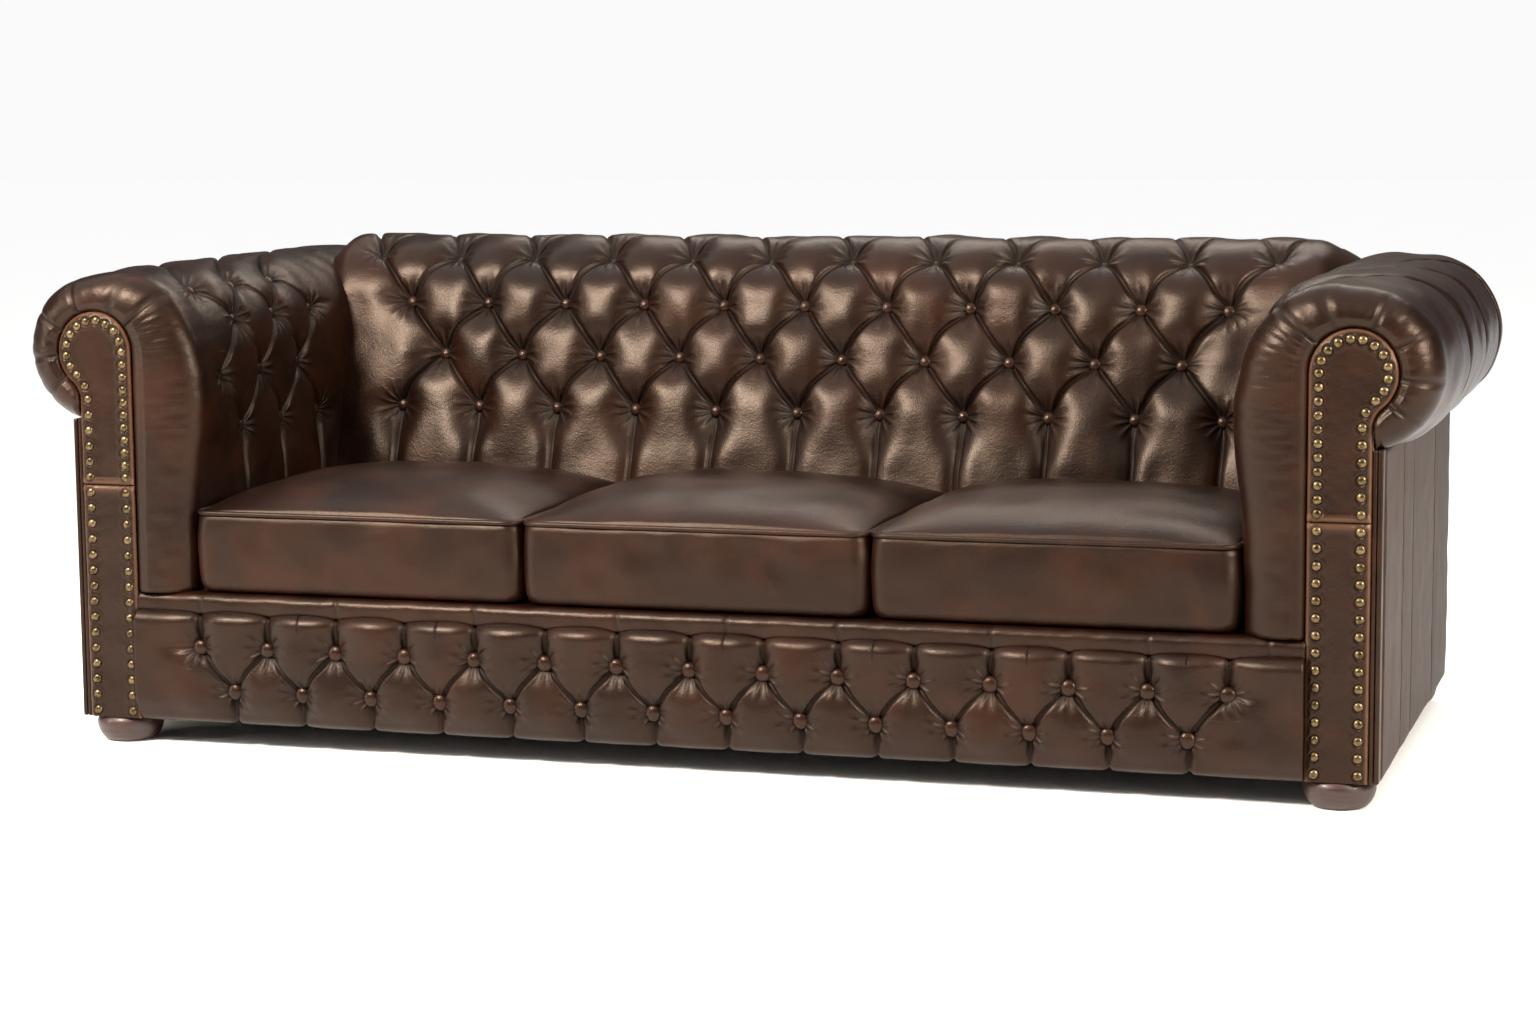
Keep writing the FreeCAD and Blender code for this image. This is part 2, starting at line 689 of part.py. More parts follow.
def make_back_buttons():
    """Three staggered rows on the leaning face and one round the shoulder."""
    buttons = []
    for row, count in enumerate(BACK_BUTTON_COUNTS):
        height = f"(back_lowest_row_height + {row} * back_row_spacing)"
        for across in row_places(count, "back_button_pitch"):
            place = (across, deep(back_face(height)), height)
            button = stud("back_button", "button_radius", "button_height", place)
            buttons.append(tip_up(button, "back_lean"))
    reach = f"({SHOULDER_Y} - back_shoulder_radius * cos(shoulder_button_angle))"
    height = f"({SHOULDER_Z} + back_shoulder_radius * sin(shoulder_button_angle))"
    for across in row_places(SHOULDER_BUTTON_COUNT, "back_button_pitch"):
        place = (across, deep(reach), height)
        button = stud("shoulder_button", "button_radius", "button_height", place)
        buttons.append(tip_up(button, "shoulder_button_angle"))
    keep("buttons_back", group("back_buttons", buttons))


def make_arm_buttons():
    """The same rows carried round onto the inside of each arm, two on the upright face
    and two round the shoulder."""
    buttons = []
    rows = (
        ("back_lowest_row_height", "0", 0.5),
        ("(back_lowest_row_height + back_row_spacing)", "0", 0),
        (f"({ARM_SHOULDER_Z} + arm_shoulder_radius * sin(arm_upper_row_angle))",
         "arm_upper_row_angle", 0.5),
        (f"({ARM_SHOULDER_Z} + arm_shoulder_radius * sin(shoulder_button_angle))",
         "shoulder_button_angle", 0),
    )
    for height, lean, stagger in rows:
        across = f"(half_seat_width + arm_shoulder_radius * (1 - cos({lean})))"
        for index in range(ARM_BUTTON_COUNT):
            depth = f"(arm_button_start_depth + {index + stagger} * back_button_pitch)"
            button = stud("arm_button", "button_radius", "button_height",
                          (across, deep(depth), height))
            buttons.append(face_inward(button, lean))
    both_sides("buttons_arm", group("arm_buttons", buttons))


def nail_places():
    """Places of the nails, up the inner edge, round the scroll and down the outer edge."""
    inner = f"({FACING_IN} + nail_margin)"
    outer = f"({FACING_OUT} - nail_margin)"
    places = []
    for index in range(LOWER_NAILS):
        share = index / (LOWER_NAILS - 1)
        run = "(facing_seam_height - ground_gap - 2 * nail_end_margin)"
        rise = f"(ground_gap + nail_end_margin + {share} * {run})"
        places += [(inner, rise), (outer, rise)]
    first = "(facing_seam_height + nail_end_margin)"
    for index in range(UPPER_INNER_NAILS):
        share = index / UPPER_INNER_NAILS
        places.append((inner, f"({first} + {share} * ({SCROLL_HEIGHT} - {first}))"))
    neck_angle = f"acos(({NECK_X} - {SCROLL_X}) / (scroll_radius + neck_radius))"
    for index in range(HEAD_NAILS):
        angle = f"(180deg - {index / HEAD_NAILS} * (180deg + {neck_angle}))"
        reach = "(scroll_radius - nail_margin)"
        places.append((f"({SCROLL_X} + {reach} * cos({angle}))",
                       f"({SCROLL_HEIGHT} + {reach} * sin({angle}))"))
    for index in range(NECK_NAILS):
        angle = f"(180deg - {1 - index / NECK_NAILS} * {neck_angle})"
        reach = "(neck_radius + nail_margin)"
        places.append((f"({NECK_X} + {reach} * cos({angle}))",
                       f"({NECK_Z} + {reach} * sin({angle}))"))
    for index in range(UPPER_OUTER_NAILS):
        share = index / (UPPER_OUTER_NAILS - 1)
        places.append((outer, f"({NECK_Z} + {share} * ({first} - {NECK_Z}))"))
    return places


def make_nails():
    """Close nailing round the edge of each facing."""
    nails = []
    for across, height in nail_places():
        nails.append(stud("nail", "nail_radius", "nail_height", (across, FRONT, height), NAIL_SIDES))
    both_sides("facing_nails", group("nails", nails))


def make_feet():
    """Turned bun feet, each with its threaded bolt up into a block of the frame."""
    across = f"(({FACING_IN} + {FACING_OUT}) / 2)"
    bulge = "((foot_swell^2 + (ground_gap / 2)^2) / (2 * foot_swell))"
    bore_floor = "(ground_gap - bolt_grip_length)"
    bolts = []
    blocks = []
    for end, depth in (("front", "foot_inset"), ("rear", "(base_depth - foot_inset)")):
        foot = doc.addObject("PartDesign::Body", f"{end}_foot")
        sketch = outline(foot, "XZ_Plane", "0", [
            ("0", "0"),
            ("foot_radius - foot_swell", "0", "ccw", f"foot_radius - {bulge}", "ground_gap / 2"),
            ("foot_radius - foot_swell", "ground_gap"),
            ("bolt_radius", "ground_gap"),
            ("bolt_radius", bore_floor),
            ("0", bore_floor),
        ])
        turned = foot.newObject("PartDesign::Revolution", "Turned")
        turned.Profile = sketch
        turned.ReferenceAxis = (sketch, ["V_Axis"])
        turned.Angle = 360
        bolt = doc.addObject("Part::Cylinder", "bolt")
        bolt.setExpression("Radius", "Sizes.bolt_radius")
        bolt.setExpression("Height", "Sizes.bolt_grip_length + Sizes.bolt_reach_length")
        bolt.setExpression("Placement.Base.z", bound(bore_floor))
        for thing in (foot, bolt):
            thing.setExpression("Placement.Base.x", bound(across))
            thing.setExpression("Placement.Base.y", bound(deep(depth)))
        both_sides(f"foot_{end}", foot)
        bolts += [bolt, mirrored("bolt_twin", bolt)]
        start = BOARD_BACK if end == "front" else f"({PANEL_INSIDE} - foot_block_depth)"
        block = box("foot_block", (SIDE_RAIL_OUT, deep(start), FRAME_BOTTOM),
                    (f"{ARM_RAIL_X} - {SIDE_RAIL_OUT}", "foot_block_depth", "foot_block_height"))
        bored = cut("bored_block", block, [bolt])
        blocks += [bored, mirrored("block_twin", bored)]
    keep("foot_bolts", group("bolts", bolts))
    keep("foot_blocks", group("foot_blocks_group", blocks))
    return bolts


def make_dust_cover(bolts):
    """The thin cloth tacked under the frame, pierced by the bolts of the feet."""
    inside = f"({OUTSIDE} - outside_panel)"
    cloth = box("cloth", (f"-{inside}", deep(RAIL_FRONT), "ground_gap"),
                (f"2 * {inside}", f"{PANEL_INSIDE} - {RAIL_FRONT}", "dust_cover_thickness"))
    keep("dust_cover", cut("pierced_cloth", cloth, bolts))


upper, board = make_arm_fronts()
outside_arm, outside_back = make_outside_panels()
make_seat_frame()
arm_top_rail, arm_rear_post = make_arm_frames()
make_back_frame()
make_suspension()
make_front_upholstery()
make_back_pad()
make_arm_pads([
    upper, board, make_back_space(), outside_arm, outside_back, arm_top_rail, arm_rear_post])
make_cushions()
make_rail_buttons()
make_back_buttons()
make_arm_buttons()
make_nails()
make_dust_cover(make_feet())
doc.recompute()

for thing in doc.Objects:
    if "Invalid" in thing.State or "Error" in thing.State:
        raise RuntimeError(f"{thing.Label} failed: {thing.State}")
for label, piece in pieces.items():
    if piece.Shape.isNull() or not piece.Shape.isValid():
        raise RuntimeError(f"{label} has no valid shape")
os.makedirs("parts", exist_ok=True)
for label, piece in pieces.items():
    piece.Shape.exportStep(f"parts/{label}.step")
    print(label, len(piece.Shape.Solids), round(piece.Shape.Volume / 1000), "cm3")
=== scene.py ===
# %% [markdown]
# # A chesterfield sofa in antique leather
# The sofa is dressed piece by piece over its frame: padded and deep-buttoned hides first, then the nailed
# facings, the loose cushions and the turned feet. All sizes below are in millimetres and are turned into
# metres only when a mesh is made.

# %% Load the frame
import json
import math
import random
from functools import partialmethod

import bmesh
import bpy
import numpy as np
from mathutils import Matrix, Vector


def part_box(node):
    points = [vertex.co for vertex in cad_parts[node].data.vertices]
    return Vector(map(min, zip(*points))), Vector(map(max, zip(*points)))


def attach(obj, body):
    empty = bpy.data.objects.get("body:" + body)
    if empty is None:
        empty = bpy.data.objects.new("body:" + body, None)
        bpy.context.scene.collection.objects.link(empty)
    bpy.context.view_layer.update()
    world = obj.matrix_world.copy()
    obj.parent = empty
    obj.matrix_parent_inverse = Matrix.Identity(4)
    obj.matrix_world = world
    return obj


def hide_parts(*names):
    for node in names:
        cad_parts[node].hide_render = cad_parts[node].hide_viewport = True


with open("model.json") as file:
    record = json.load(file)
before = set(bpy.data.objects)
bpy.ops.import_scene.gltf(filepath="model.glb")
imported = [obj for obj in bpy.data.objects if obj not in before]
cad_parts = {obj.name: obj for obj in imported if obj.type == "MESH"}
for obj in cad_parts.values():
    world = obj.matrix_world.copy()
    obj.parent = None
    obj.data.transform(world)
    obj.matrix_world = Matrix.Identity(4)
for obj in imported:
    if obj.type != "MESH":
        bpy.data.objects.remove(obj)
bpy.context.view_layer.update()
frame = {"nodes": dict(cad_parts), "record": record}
MM = 0.001
BODY = "sofa_body"
SIDES = (("right", 1), ("left", -1))
CUSHIONS = ("left", "middle", "right")


def corners(node):
    """Lowest and highest corner of a frame piece, in millimetres."""
    low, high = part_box(node)
    return np.array(low) / MM, np.array(high) / MM


def deselect():
    """Start an operator with nothing selected."""
    if bpy.context.object and bpy.context.object.mode != "OBJECT":
        bpy.ops.object.mode_set(mode="OBJECT")
    bpy.ops.object.select_all(action="DESELECT")


deselect()
facing_low, facing_high = corners("facing_lower_right")
upper_low, upper_high = corners("facing_upper_right")
FRONT_Y = facing_low[1]
print("frame pieces:", len(frame["nodes"]), "arm fronts at y", FRONT_Y)

# %% [markdown]
# ## The camera
# The picture was taken from the right of the middle with a long lens, a little above the arms. The camera
# is placed in the sofa's own space by measures found from the picture, so the lens follows from the width
# of the picture and nothing has to be moved to fit.

# %% Camera
PICTURE_WIDTH = 1536
FOCAL_PIXELS = 3275.1
SENSOR = 36.0
camera_data = bpy.data.cameras.new("camera")
camera_data.sensor_width = SENSOR
camera_data.lens = FOCAL_PIXELS * SENSOR / PICTURE_WIDTH
camera_data.clip_end = 200
camera = bpy.data.objects.new("camera", camera_data)
bpy.context.collection.objects.link(camera)
CAMERA_PLACE = (1542, FRONT_Y - 4527, 1013)
YAW, PITCH, ROLL = (math.radians(angle) for angle in (17.39, -7.37, -0.49))
ahead = Vector((-math.sin(YAW) * math.cos(PITCH), math.cos(YAW) * math.cos(PITCH), math.sin(PITCH)))
level = Vector((math.cos(YAW), math.sin(YAW), 0))
above = level.cross(ahead)
right = level * math.cos(ROLL) + above * math.sin(ROLL)
up = above * math.cos(ROLL) - level * math.sin(ROLL)
turn = Matrix((right, up, -ahead)).transposed().to_4x4()
camera.matrix_world = Matrix.Translation(Vector(CAMERA_PLACE) * MM) @ turn
bpy.context.scene.camera = camera
print("lens", round(camera_data.lens, 1), "mm")

# %% [markdown]
# ## Studio light and floor
# Photographs of furniture are lit by wide, soft lamps on a white ground. One broad sun with blurred shadows
# whitens the floor. Four warm lamps draw the highlights: the key on the tufts, a tall lamp at each side for
# the rolls, and a long one behind for the tops. The world looks nearly white to the camera but lights
# little, so the folds of the hide stay dark.

# %% Light and floor
AMBIENT = 0.12
BACKDROP = 0.955
world = bpy.data.worlds.new("studio")
bpy.context.scene.world = world
world.use_nodes = True
studio = world.node_tree
background = studio.nodes["Background"]
background.inputs["Color"].default_value = (1, 1, 1, 1)
path = studio.nodes.new("ShaderNodeLightPath")
level_of = studio.nodes.new("ShaderNodeMapRange")
level_of.inputs["To Min"].default_value = AMBIENT
level_of.inputs["To Max"].default_value = BACKDROP
studio.links.new(path.outputs["Is Camera Ray"], level_of.inputs["Value"])
studio.links.new(level_of.outputs["Result"], background.inputs["Strength"])
bpy.context.scene.view_settings.view_transform = "Standard"

WARM_LIGHT = (1.0, 0.89, 0.78)


def aim(thing, place, target):
    """Put a light at a place and turn it to a point."""
    thing.location = place
    thing.rotation_euler = (Vector(target) - Vector(place)).to_track_quat("-Z", "Y").to_euler()
    bpy.context.collection.objects.link(thing)


def lamp(name, place, target, size, power):
    """A soft rectangular lamp that faces a point."""
    light = bpy.data.lights.new(name, "AREA")
    light.shape = "RECTANGLE"
    light.size, light.size_y = size
    light.energy = power
    light.color = WARM_LIGHT
    aim(bpy.data.objects.new(name, light), place, target)


sky = bpy.data.lights.new("ceiling_light", "SUN")
sky.energy = 2.85
sky.angle = math.radians(100)
aim(bpy.data.objects.new("ceiling_light", sky), (-0.5, -0.9, 4), (0, 0, 0))
lamp("key_lamp", (-1.7, -2.9, 2.7), (0, 0, 0.5), (0.9, 0.6), 310)
lamp("side_lamp", (3.3, -1.8, 1.8), (0.6, 0.1, 0.5), (0.5, 1.3), 180)
lamp("strip_lamp", (-3.4, -2.2, 1.1), (0, 0, 0.5), (0.25, 1.5), 40)
lamp("rear_lamp", (0.2, 2.2, 2.6), (0, 0, 0.6), (3.2, 0.4), 38)

FLOOR_SIZE = 60
bpy.ops.mesh.primitive_plane_add(size=FLOOR_SIZE, location=(0, 0, 0))
floor = bpy.context.object
floor.name = "floor"
print("lamps:", len(bpy.data.lights), "on a floor of", FLOOR_SIZE, "m")

# %% [markdown]
# ## Finishes as sums
# A finish is a small network of nodes. The class below wraps a socket so that patterns can be written as
# ordinary sums, and one method makes every other node.


# %% Sockets that can be added
class Wire:
    """A socket that adds its own maths nodes when it is used in a sum."""

    def __init__(self, finish, socket):
        self.finish = finish
        self.socket = socket

    def maths(self, operation, other=0.0):
        return self.finish.node("Math", {"operation": operation}, {0: self, 1: other})

    def __rsub__(self, other):
        return self.finish.node("Math", {"operation": "SUBTRACT"}, {0: other, 1: self})

    def clear(self):
        """Keep a value between 0 and 1."""
        return self.under(1.0).over(0.0)

    __add__ = __radd__ = partialmethod(maths, "ADD")
    __sub__ = partialmethod(maths, "SUBTRACT")
    __mul__ = __rmul__ = partialmethod(maths, "MULTIPLY")
    __pow__ = partialmethod(maths, "POWER")
    over = partialmethod(maths, "MAXIMUM")
    under = partialmethod(maths, "MINIMUM")
    sine = partialmethod(maths, "SINE")


class Finish:
    """A material and the ways to write patterns into it."""

    def __init__(self, name):
        self.material = bpy.data.materials.new(name)
        self.material.use_nodes = True
        self.tree = self.material.node_tree
        self.tree.nodes.clear()
        self.place = self.node("TexCoord", output="Object")

    def node(self, kind, settings=None, values=None, output=0):
        """Make one node: its settings first, then the values or wires of its sockets."""
        made = self.tree.nodes.new("ShaderNode" + kind)
        for name, setting in (settings or {}).items():
            if name == "stops":
                self.fill_ramp(made.color_ramp, setting)
            else:
                setattr(made, name, setting)
        for name, value in (values or {}).items():
            if isinstance(value, Wire):
                self.tree.links.new(value.socket, made.inputs[name])
            else:
                made.inputs[name].default_value = value
        return Wire(self, made.outputs[output])

    def fill_ramp(self, ramp, stops):
        """Set the colour stops of a ramp, given as (position, grey or colour)."""
        while len(ramp.elements) < len(stops):
            ramp.elements.new(1.0)
        for element, (position, shade) in zip(ramp.elements, stops):
            element.position = position
            element.color = (*shade, 1) if isinstance(shade, tuple) else (shade, shade, shade, 1)

    def noise(self, scale, detail=3.0, stretch=(1, 1, 1), distortion=0.0):
        """Cloudy pattern with blobs about 1 / scale metres across."""
        place = self.node("Mapping", None, {"Vector": self.place, "Scale": stretch})
        return self.node("TexNoise", None, {
            "Vector": place, "Scale": scale, "Detail": detail, "Distortion": distortion})

    def cells(self, scale):
        """Distance pattern of small cells."""
        return self.node("TexVoronoi", None, {"Vector": self.place, "Scale": scale})

    def ramp(self, wire, *stops):
        """Read a value through a ramp of stops."""
        return self.node("ValToRGB", {"stops": stops}, {"Fac": wire})

    def attribute(self, name, output="Fac"):
        """A value that a mesh carries at its points."""
        return self.node("Attribute", {"attribute_name": name}, output=output)

    def mix(self, share, first, second):
        """Blend two colours."""
        first, second = ((*c, 1) if isinstance(c, tuple) else c for c in (first, second))
        return self.node("Mix", {"data_type": "RGBA"}, {0: share, 6: first, 7: second}, output=2)

    def bump(self, height, depth, under=None):
        """Raise the surface by a height pattern, depth metres for a change of 1."""
        values = {"Height": height, "Distance": depth, "Strength": 1.0}
        if under:
            values["Normal"] = under
        return self.node("Bump", None, values)

    def finish(self, **values):
        """End the network in the shader."""
        shader = self.node("BsdfPrincipled", None, {
            name.replace("_", " "): value for name, value in values.items()})
        end = self.tree.nodes.new("ShaderNodeOutputMaterial")
        self.tree.links.new(shader.socket, end.inputs["Surface"])
        return self.material


# %% [markdown]
# ## Antique hide
# The hide was dyed dark and rubbed by hand, so it is redder on the crowns. Its folds, pits and hollows are
# darkened with painted shade, and the rims of the facings lightened with a painted highlight. Grain is a
# fine net of cells, with longer creases between. Near a button the hide is gathered. A painted texture
# could hold all this, but a pattern of nodes stays sharp at any distance. So the mesh carries what the
# pattern needs at its points: how near a crease is, how deep the hide lies, where a rim takes the painted
# highlight, and the way to the nearest button, so that fine folds can run towards it.


# %% Leather finish
def rgb(red, green, blue):
    """A colour given as the numbers 0 to 255 that a screen shows."""
    return tuple((part / 255) ** 2.2 for part in (red, green, blue))


def leather(name, deep, middle, rubbed, shine=0.31, folds=1.0, coat=0.04):
    """Dyed hide in three tones. Folds sets how far the gathers and wrinkles stand up."""
    hide = Finish(name)
    clouds = hide.noise(4.5, 4.0)
    patches = hide.noise(10.0, 5.0, distortion=0.4)
    crease = hide.attribute("crease")
    hollow = hide.attribute("hollow")
    rub = hide.attribute("rub")
    tone = hide.mix(hide.ramp(clouds, (0.34, 0.0), (0.66, 1.0)), deep, middle)
    wear = hide.ramp(patches, (0.46, 0.0), (0.74, 1.0)) * (0.5 - hollow * 0.35)
    tone = hide.mix(wear, tone, rubbed)
    # Marked rims are lightened: a painted highlight on the facings' edges and seam fold.
    tone = hide.mix((rub * 0.7).clear(), tone, PAINTED_RIM_HIGHLIGHT)
    # Creases, pits and hollows are darkened towards a near-black tone: painted shade.
    tone = hide.mix((crease * 0.94).over(hollow * 0.9).clear(), tone, PAINTED_SHADE)
    grain = hide.cells(620.0)
    pores = hide.noise(260.0, 4.0)
    wrinkles = hide.noise(55.0, 5.0, stretch=(1.0, 1.0, 1.8), distortion=0.8)
    way = hide.node("SeparateXYZ", None, {0: hide.attribute("tuft", "Vector")})
    way_up, hold = (Wire(hide, way.socket.node.outputs[axis]) for axis in "YZ")
    angle = hide.node("Math", {"operation": "ARCTAN2"}, {0: way_up, 1: way})
    gather = ((angle * 11.0 + clouds * 14.0).sine() * 0.5 + 0.5) ** 1.6
    base = hide.bump(gather * hold, 0.0020 * folds)
    base = hide.bump(wrinkles, 0.0004 * folds, base)
    base = hide.bump(grain * 0.5 + pores * 0.7, 0.00030, base)
    rough = shine + (patches - 0.5) * 0.14 + crease * 0.3 + hollow * 0.15 + pores * 0.08
    return hide.finish(
        Base_Color=tone, Roughness=rough, Normal=base, Coat_Weight=coat, Coat_Roughness=0.3,
        Specular_IOR_Level=0.24, Specular_Tint=WARM_SHINE)


# The near-black tone of the painted shade in creases, pits and hollows.
PAINTED_SHADE = rgb(12, 7, 5)
# The lighter tone of the painted highlight on the facings' rims and seam fold.
PAINTED_RIM_HIGHLIGHT = rgb(96, 68, 50)
WARM_SHINE = (1.0, 0.78, 0.62, 1.0)
HIDE = leather("antique_hide", rgb(22, 12, 8), rgb(29, 16, 10), rgb(48, 26, 16))
# The outside panels get a lighter, greyer copy of the hide: a painted reflection of the bright studio seen at
# a grazing angle.
PANEL_HIDE_PAINTED_REFLECTION = leather(
    "panel_hide_painted_reflection", rgb(38, 27, 20), rgb(46, 33, 25), rgb(60, 42, 31), shine=0.5, folds=0.7, coat=0.0)
SEAT_HIDE = leather(
    "seat_hide", rgb(22, 12, 9), rgb(28, 16, 11), rgb(52, 29, 19), shine=0.36, folds=0.6, coat=0.02)
BUTTON_HIDE = leather("button_hide", rgb(28, 16, 11), rgb(37, 22, 16), rgb(48, 29, 21), shine=0.24)
print("hides:", ", ".join(hide.name for hide in (HIDE, PANEL_HIDE_PAINTED_REFLECTION, SEAT_HIDE, BUTTON_HIDE)))


# %% [markdown]
# ## Brass, turned wood and what hides inside
# The nails are old brass, dull between its bright spots. The feet are stained hardwood under varnish, with
# grain that runs round them. The frame, foam, webbing and cloth get plain finishes, because they show only
# where a cushion is drawn out or the sofa is seen from below.


# %% Other finishes
def brass():
    """Old brass with darker patches."""
    metal = Finish("antique_brass")
    stain = metal.noise(140.0, 4.0)
    tone = metal.mix(metal.ramp(stain, (0.35, 0.0), (0.65, 1.0)), rgb(62, 52, 38), rgb(112, 96, 72))
    return metal.finish(
        Base_Color=tone, Metallic=1.0, Roughness=0.26 + stain * 0.14,
        Normal=metal.bump(metal.noise(500.0), 0.0001))


def varnished_wood():
    """Dark stained wood, with grain that runs round the foot."""
    wood = Finish("varnished_wood")
    rings = wood.noise(26.0, 5.0, stretch=(1, 1, 9), distortion=0.8)
    tone = wood.mix(wood.ramp(rings, (0.35, 0.0), (0.65, 1.0)), rgb(24, 10, 6), rgb(52, 24, 13))
    return wood.finish(
        Base_Color=tone, Roughness=0.4 + rings * 0.1, Coat_Weight=0.15, Coat_Roughness=0.12,
        Normal=wood.bump(rings, 0.0003))


def planed_wood(name, dark, light, stretch):
    """Plain wood. The stretch says which way its grain runs."""
    wood = Finish(name)
    grain = wood.noise(30.0, 6.0, stretch=stretch, distortion=0.5)
    tone = wood.mix(wood.ramp(grain, (0.3, 0.0), (0.7, 1.0)), dark, light)
    return wood.finish(Base_Color=tone, Roughness=0.62 + grain * 0.1, Normal=wood.bump(grain, 0.0003))


def cloth(name, dark, light, threads=700.0):
    """A weave of crossing threads, which also serves for the pores of foam."""
    weave = Finish(name)
    place = weave.node("SeparateXYZ", None, {0: weave.place})
    across = (place * threads).sine()
    along = (Wire(weave, place.socket.node.outputs["Y"]) * threads).sine()
    over = across * along * 0.5 + 0.5
    tone = weave.mix(over, dark, light)
    return weave.finish(Base_Color=tone, Roughness=0.9 - over * 0.05, Normal=weave.bump(over, 0.0004))


def steel():
    """Plated steel for the bolts of the feet."""
    metal = Finish("plated_steel")
    haze = metal.noise(90.0)
    tone = metal.mix(haze, rgb(150, 152, 155), rgb(205, 206, 208))
    return metal.finish(Base_Color=tone, Metallic=1.0, Roughness=0.3 + haze * 0.15)


FRAME_FINISHES = {
    "hide_leather": HIDE,
    "cushion_leather": SEAT_HIDE,
    "button_leather": BUTTON_HIDE,
    "nail_brass": brass(),
    "turned_wood": varnished_wood(),
    "frame_hardwood": planed_wood("beech", rgb(170, 132, 92), rgb(206, 172, 130), (1, 6, 6)),
    "plywood": planed_wood("birch_ply", rgb(190, 160, 120), rgb(222, 198, 160), (2, 2, 14)),
    "foam": cloth("cut_foam", rgb(214, 206, 178), rgb(232, 226, 200), 1500.0),
    "jute_webbing": cloth("jute", rgb(120, 96, 62), rgb(168, 140, 98), 900.0),
    "deck_cloth": cloth("platform_cloth", rgb(38, 30, 26), rgb(58, 48, 42)),
    "dust_cloth": cloth("black_dust_cloth", rgb(16, 16, 16), rgb(34, 34, 34)),
    "zinc_steel": steel(),
}


def floor_finish():
    """The white ground of the studio."""
    paper = Finish("pale_floor")
    haze = paper.noise(3.0)
    return paper.finish(
        Base_Color=paper.mix(haze, rgb(249, 249, 249), rgb(252, 252, 252)), Roughness=0.9,
        Specular_IOR_Level=0.0)


floor.data.materials.append(floor_finish())
for part in frame["record"]["subparts"]:
    thing = frame["nodes"][part["node"]]
    finish = FRAME_FINISHES[part["material_slot"]]
    thing.data.materials.clear()
    thing.data.materials.append(finish)
print("finishes:", len(FRAME_FINISHES))


# %% [markdown]
# ## Outlines and skins
# Most of the sofa is hide stretched over a moulding: an outline that is swept along a line. A bevelled
# curve could sweep it too, but couldn't carry tufts. Here an outline is made of runs and arcs and measured
# along its length, so buttons can be placed by distance. A skin joins rows of points into one closed mesh,
# and its faces can be split along either diagonal, so that a fold lies exactly on edges.


# %% Outline and skin
class Outline:
    """Runs and arcs in a plane. The outside is on the left of the way it is drawn."""

    SPACING = 0.5

    def __init__(self, start):
        self.points = np.array([start], float)
        self.normals = None

    def run(self, end):
        """Go straight to a point."""
        start, end = self.points[-1], np.array(end, float)
        steps = max(2, int(np.linalg.norm(end - start) / self.SPACING))
        share = np.linspace(0, 1, steps)[:, None]
        along = (end - start) / np.linalg.norm(end - start)
        normals = np.tile((-along[1], along[0]), (steps, 1))
        return self.extend(start + (end - start) * share, normals)

    def arc(self, centre, degrees):
        """Turn clockwise round a centre."""
        spoke = self.points[-1] - centre
        radius, begin = np.linalg.norm(spoke), math.atan2(spoke[1], spoke[0])
        steps = max(2, int(radius * math.radians(degrees) / self.SPACING))
        angles = begin - np.linspace(0, math.radians(degrees), steps)
        normals = np.stack([np.cos(angles), np.sin(angles)], 1)
        return self.extend(np.array(centre) + radius * normals, normals)

    def extend(self, points, normals):
        """Add points that begin where the outline ends."""
        if self.normals is None:
            self.points, self.normals = points, normals
        else:
            self.points = np.vstack([self.points, points[1:]])
            self.normals = np.vstack([self.normals, normals[1:]])
        steps = np.linalg.norm(np.diff(self.points, axis=0), axis=1)
        self.travel = np.concatenate([[0], np.cumsum(steps)])
        return self

    @property
    def length(self):
        return self.travel[-1]

    def at(self, travel):
        """Points and outward normals at distances along the outline."""
        pick = lambda table: np.stack([np.interp(travel, self.travel, column) for column in table.T], -1)
        return pick(self.points), pick(self.normals)


def carry(mesh, label, numbers):
    """Store a number or a direction at each point of a mesh."""
    kind, key = ("FLOAT_VECTOR", "vector") if numbers.ndim == 3 else ("FLOAT", "value")
    layer = mesh.attributes.new(label, kind, "POINT")
    layer.data.foreach_set(key, numbers.reshape(-1).astype(np.float32))


def skin(name, grid, split=None, attributes=None):
    """Join rings of points, in millimetres, into a mesh that is capped at both ends."""
    rows, columns = grid.shape[:2]
    index = np.arange(rows * columns).reshape(rows, columns)
    beside = np.roll(index, -1, axis=1)
    quads = np.stack([index[:-1], beside[:-1], beside[1:], index[1:]], -1)
    kinds = np.zeros(quads.shape[:2], int) if split is None else split
    faces = quads[kinds == 0].tolist()
    for kind, (one, two) in ((1, ((0, 1, 2), (0, 2, 3))), (2, ((0, 1, 3), (1, 2, 3)))):
        chosen = quads[kinds == kind]
        faces += chosen[:, one].tolist() + chosen[:, two].tolist()
    faces += [index[0][::-1].tolist(), index[-1].tolist()]
    mesh = bpy.data.meshes.new(name)
    mesh.from_pydata((grid.reshape(-1, 3) * MM).tolist(), [], faces)
    for label, numbers in (attributes or {}).items():
        carry(mesh, label, numbers)
    mesh.polygons.foreach_set("use_smooth", [True] * len(mesh.polygons))
    work = bmesh.new()
    work.from_mesh(mesh)
    if work.calc_volume(signed=True) < 0:
        bmesh.ops.reverse_faces(work, faces=work.faces)
    work.to_mesh(mesh)
    work.free()
    thing = bpy.data.objects.new(name, mesh)
    bpy.context.collection.objects.link(thing)
    return thing


def raised(line, travel, height):
    """Points of a moulding that stand off its outline by a height."""
    points, normals = line.at(travel)
    return points + normals * height[..., None]


def set_along(x, spot):
    """Put sections, given as (depth, height), at their places along the sofa."""
    return np.stack([x, FRONT_Y + spot[..., 0], spot[..., 1]], -1)


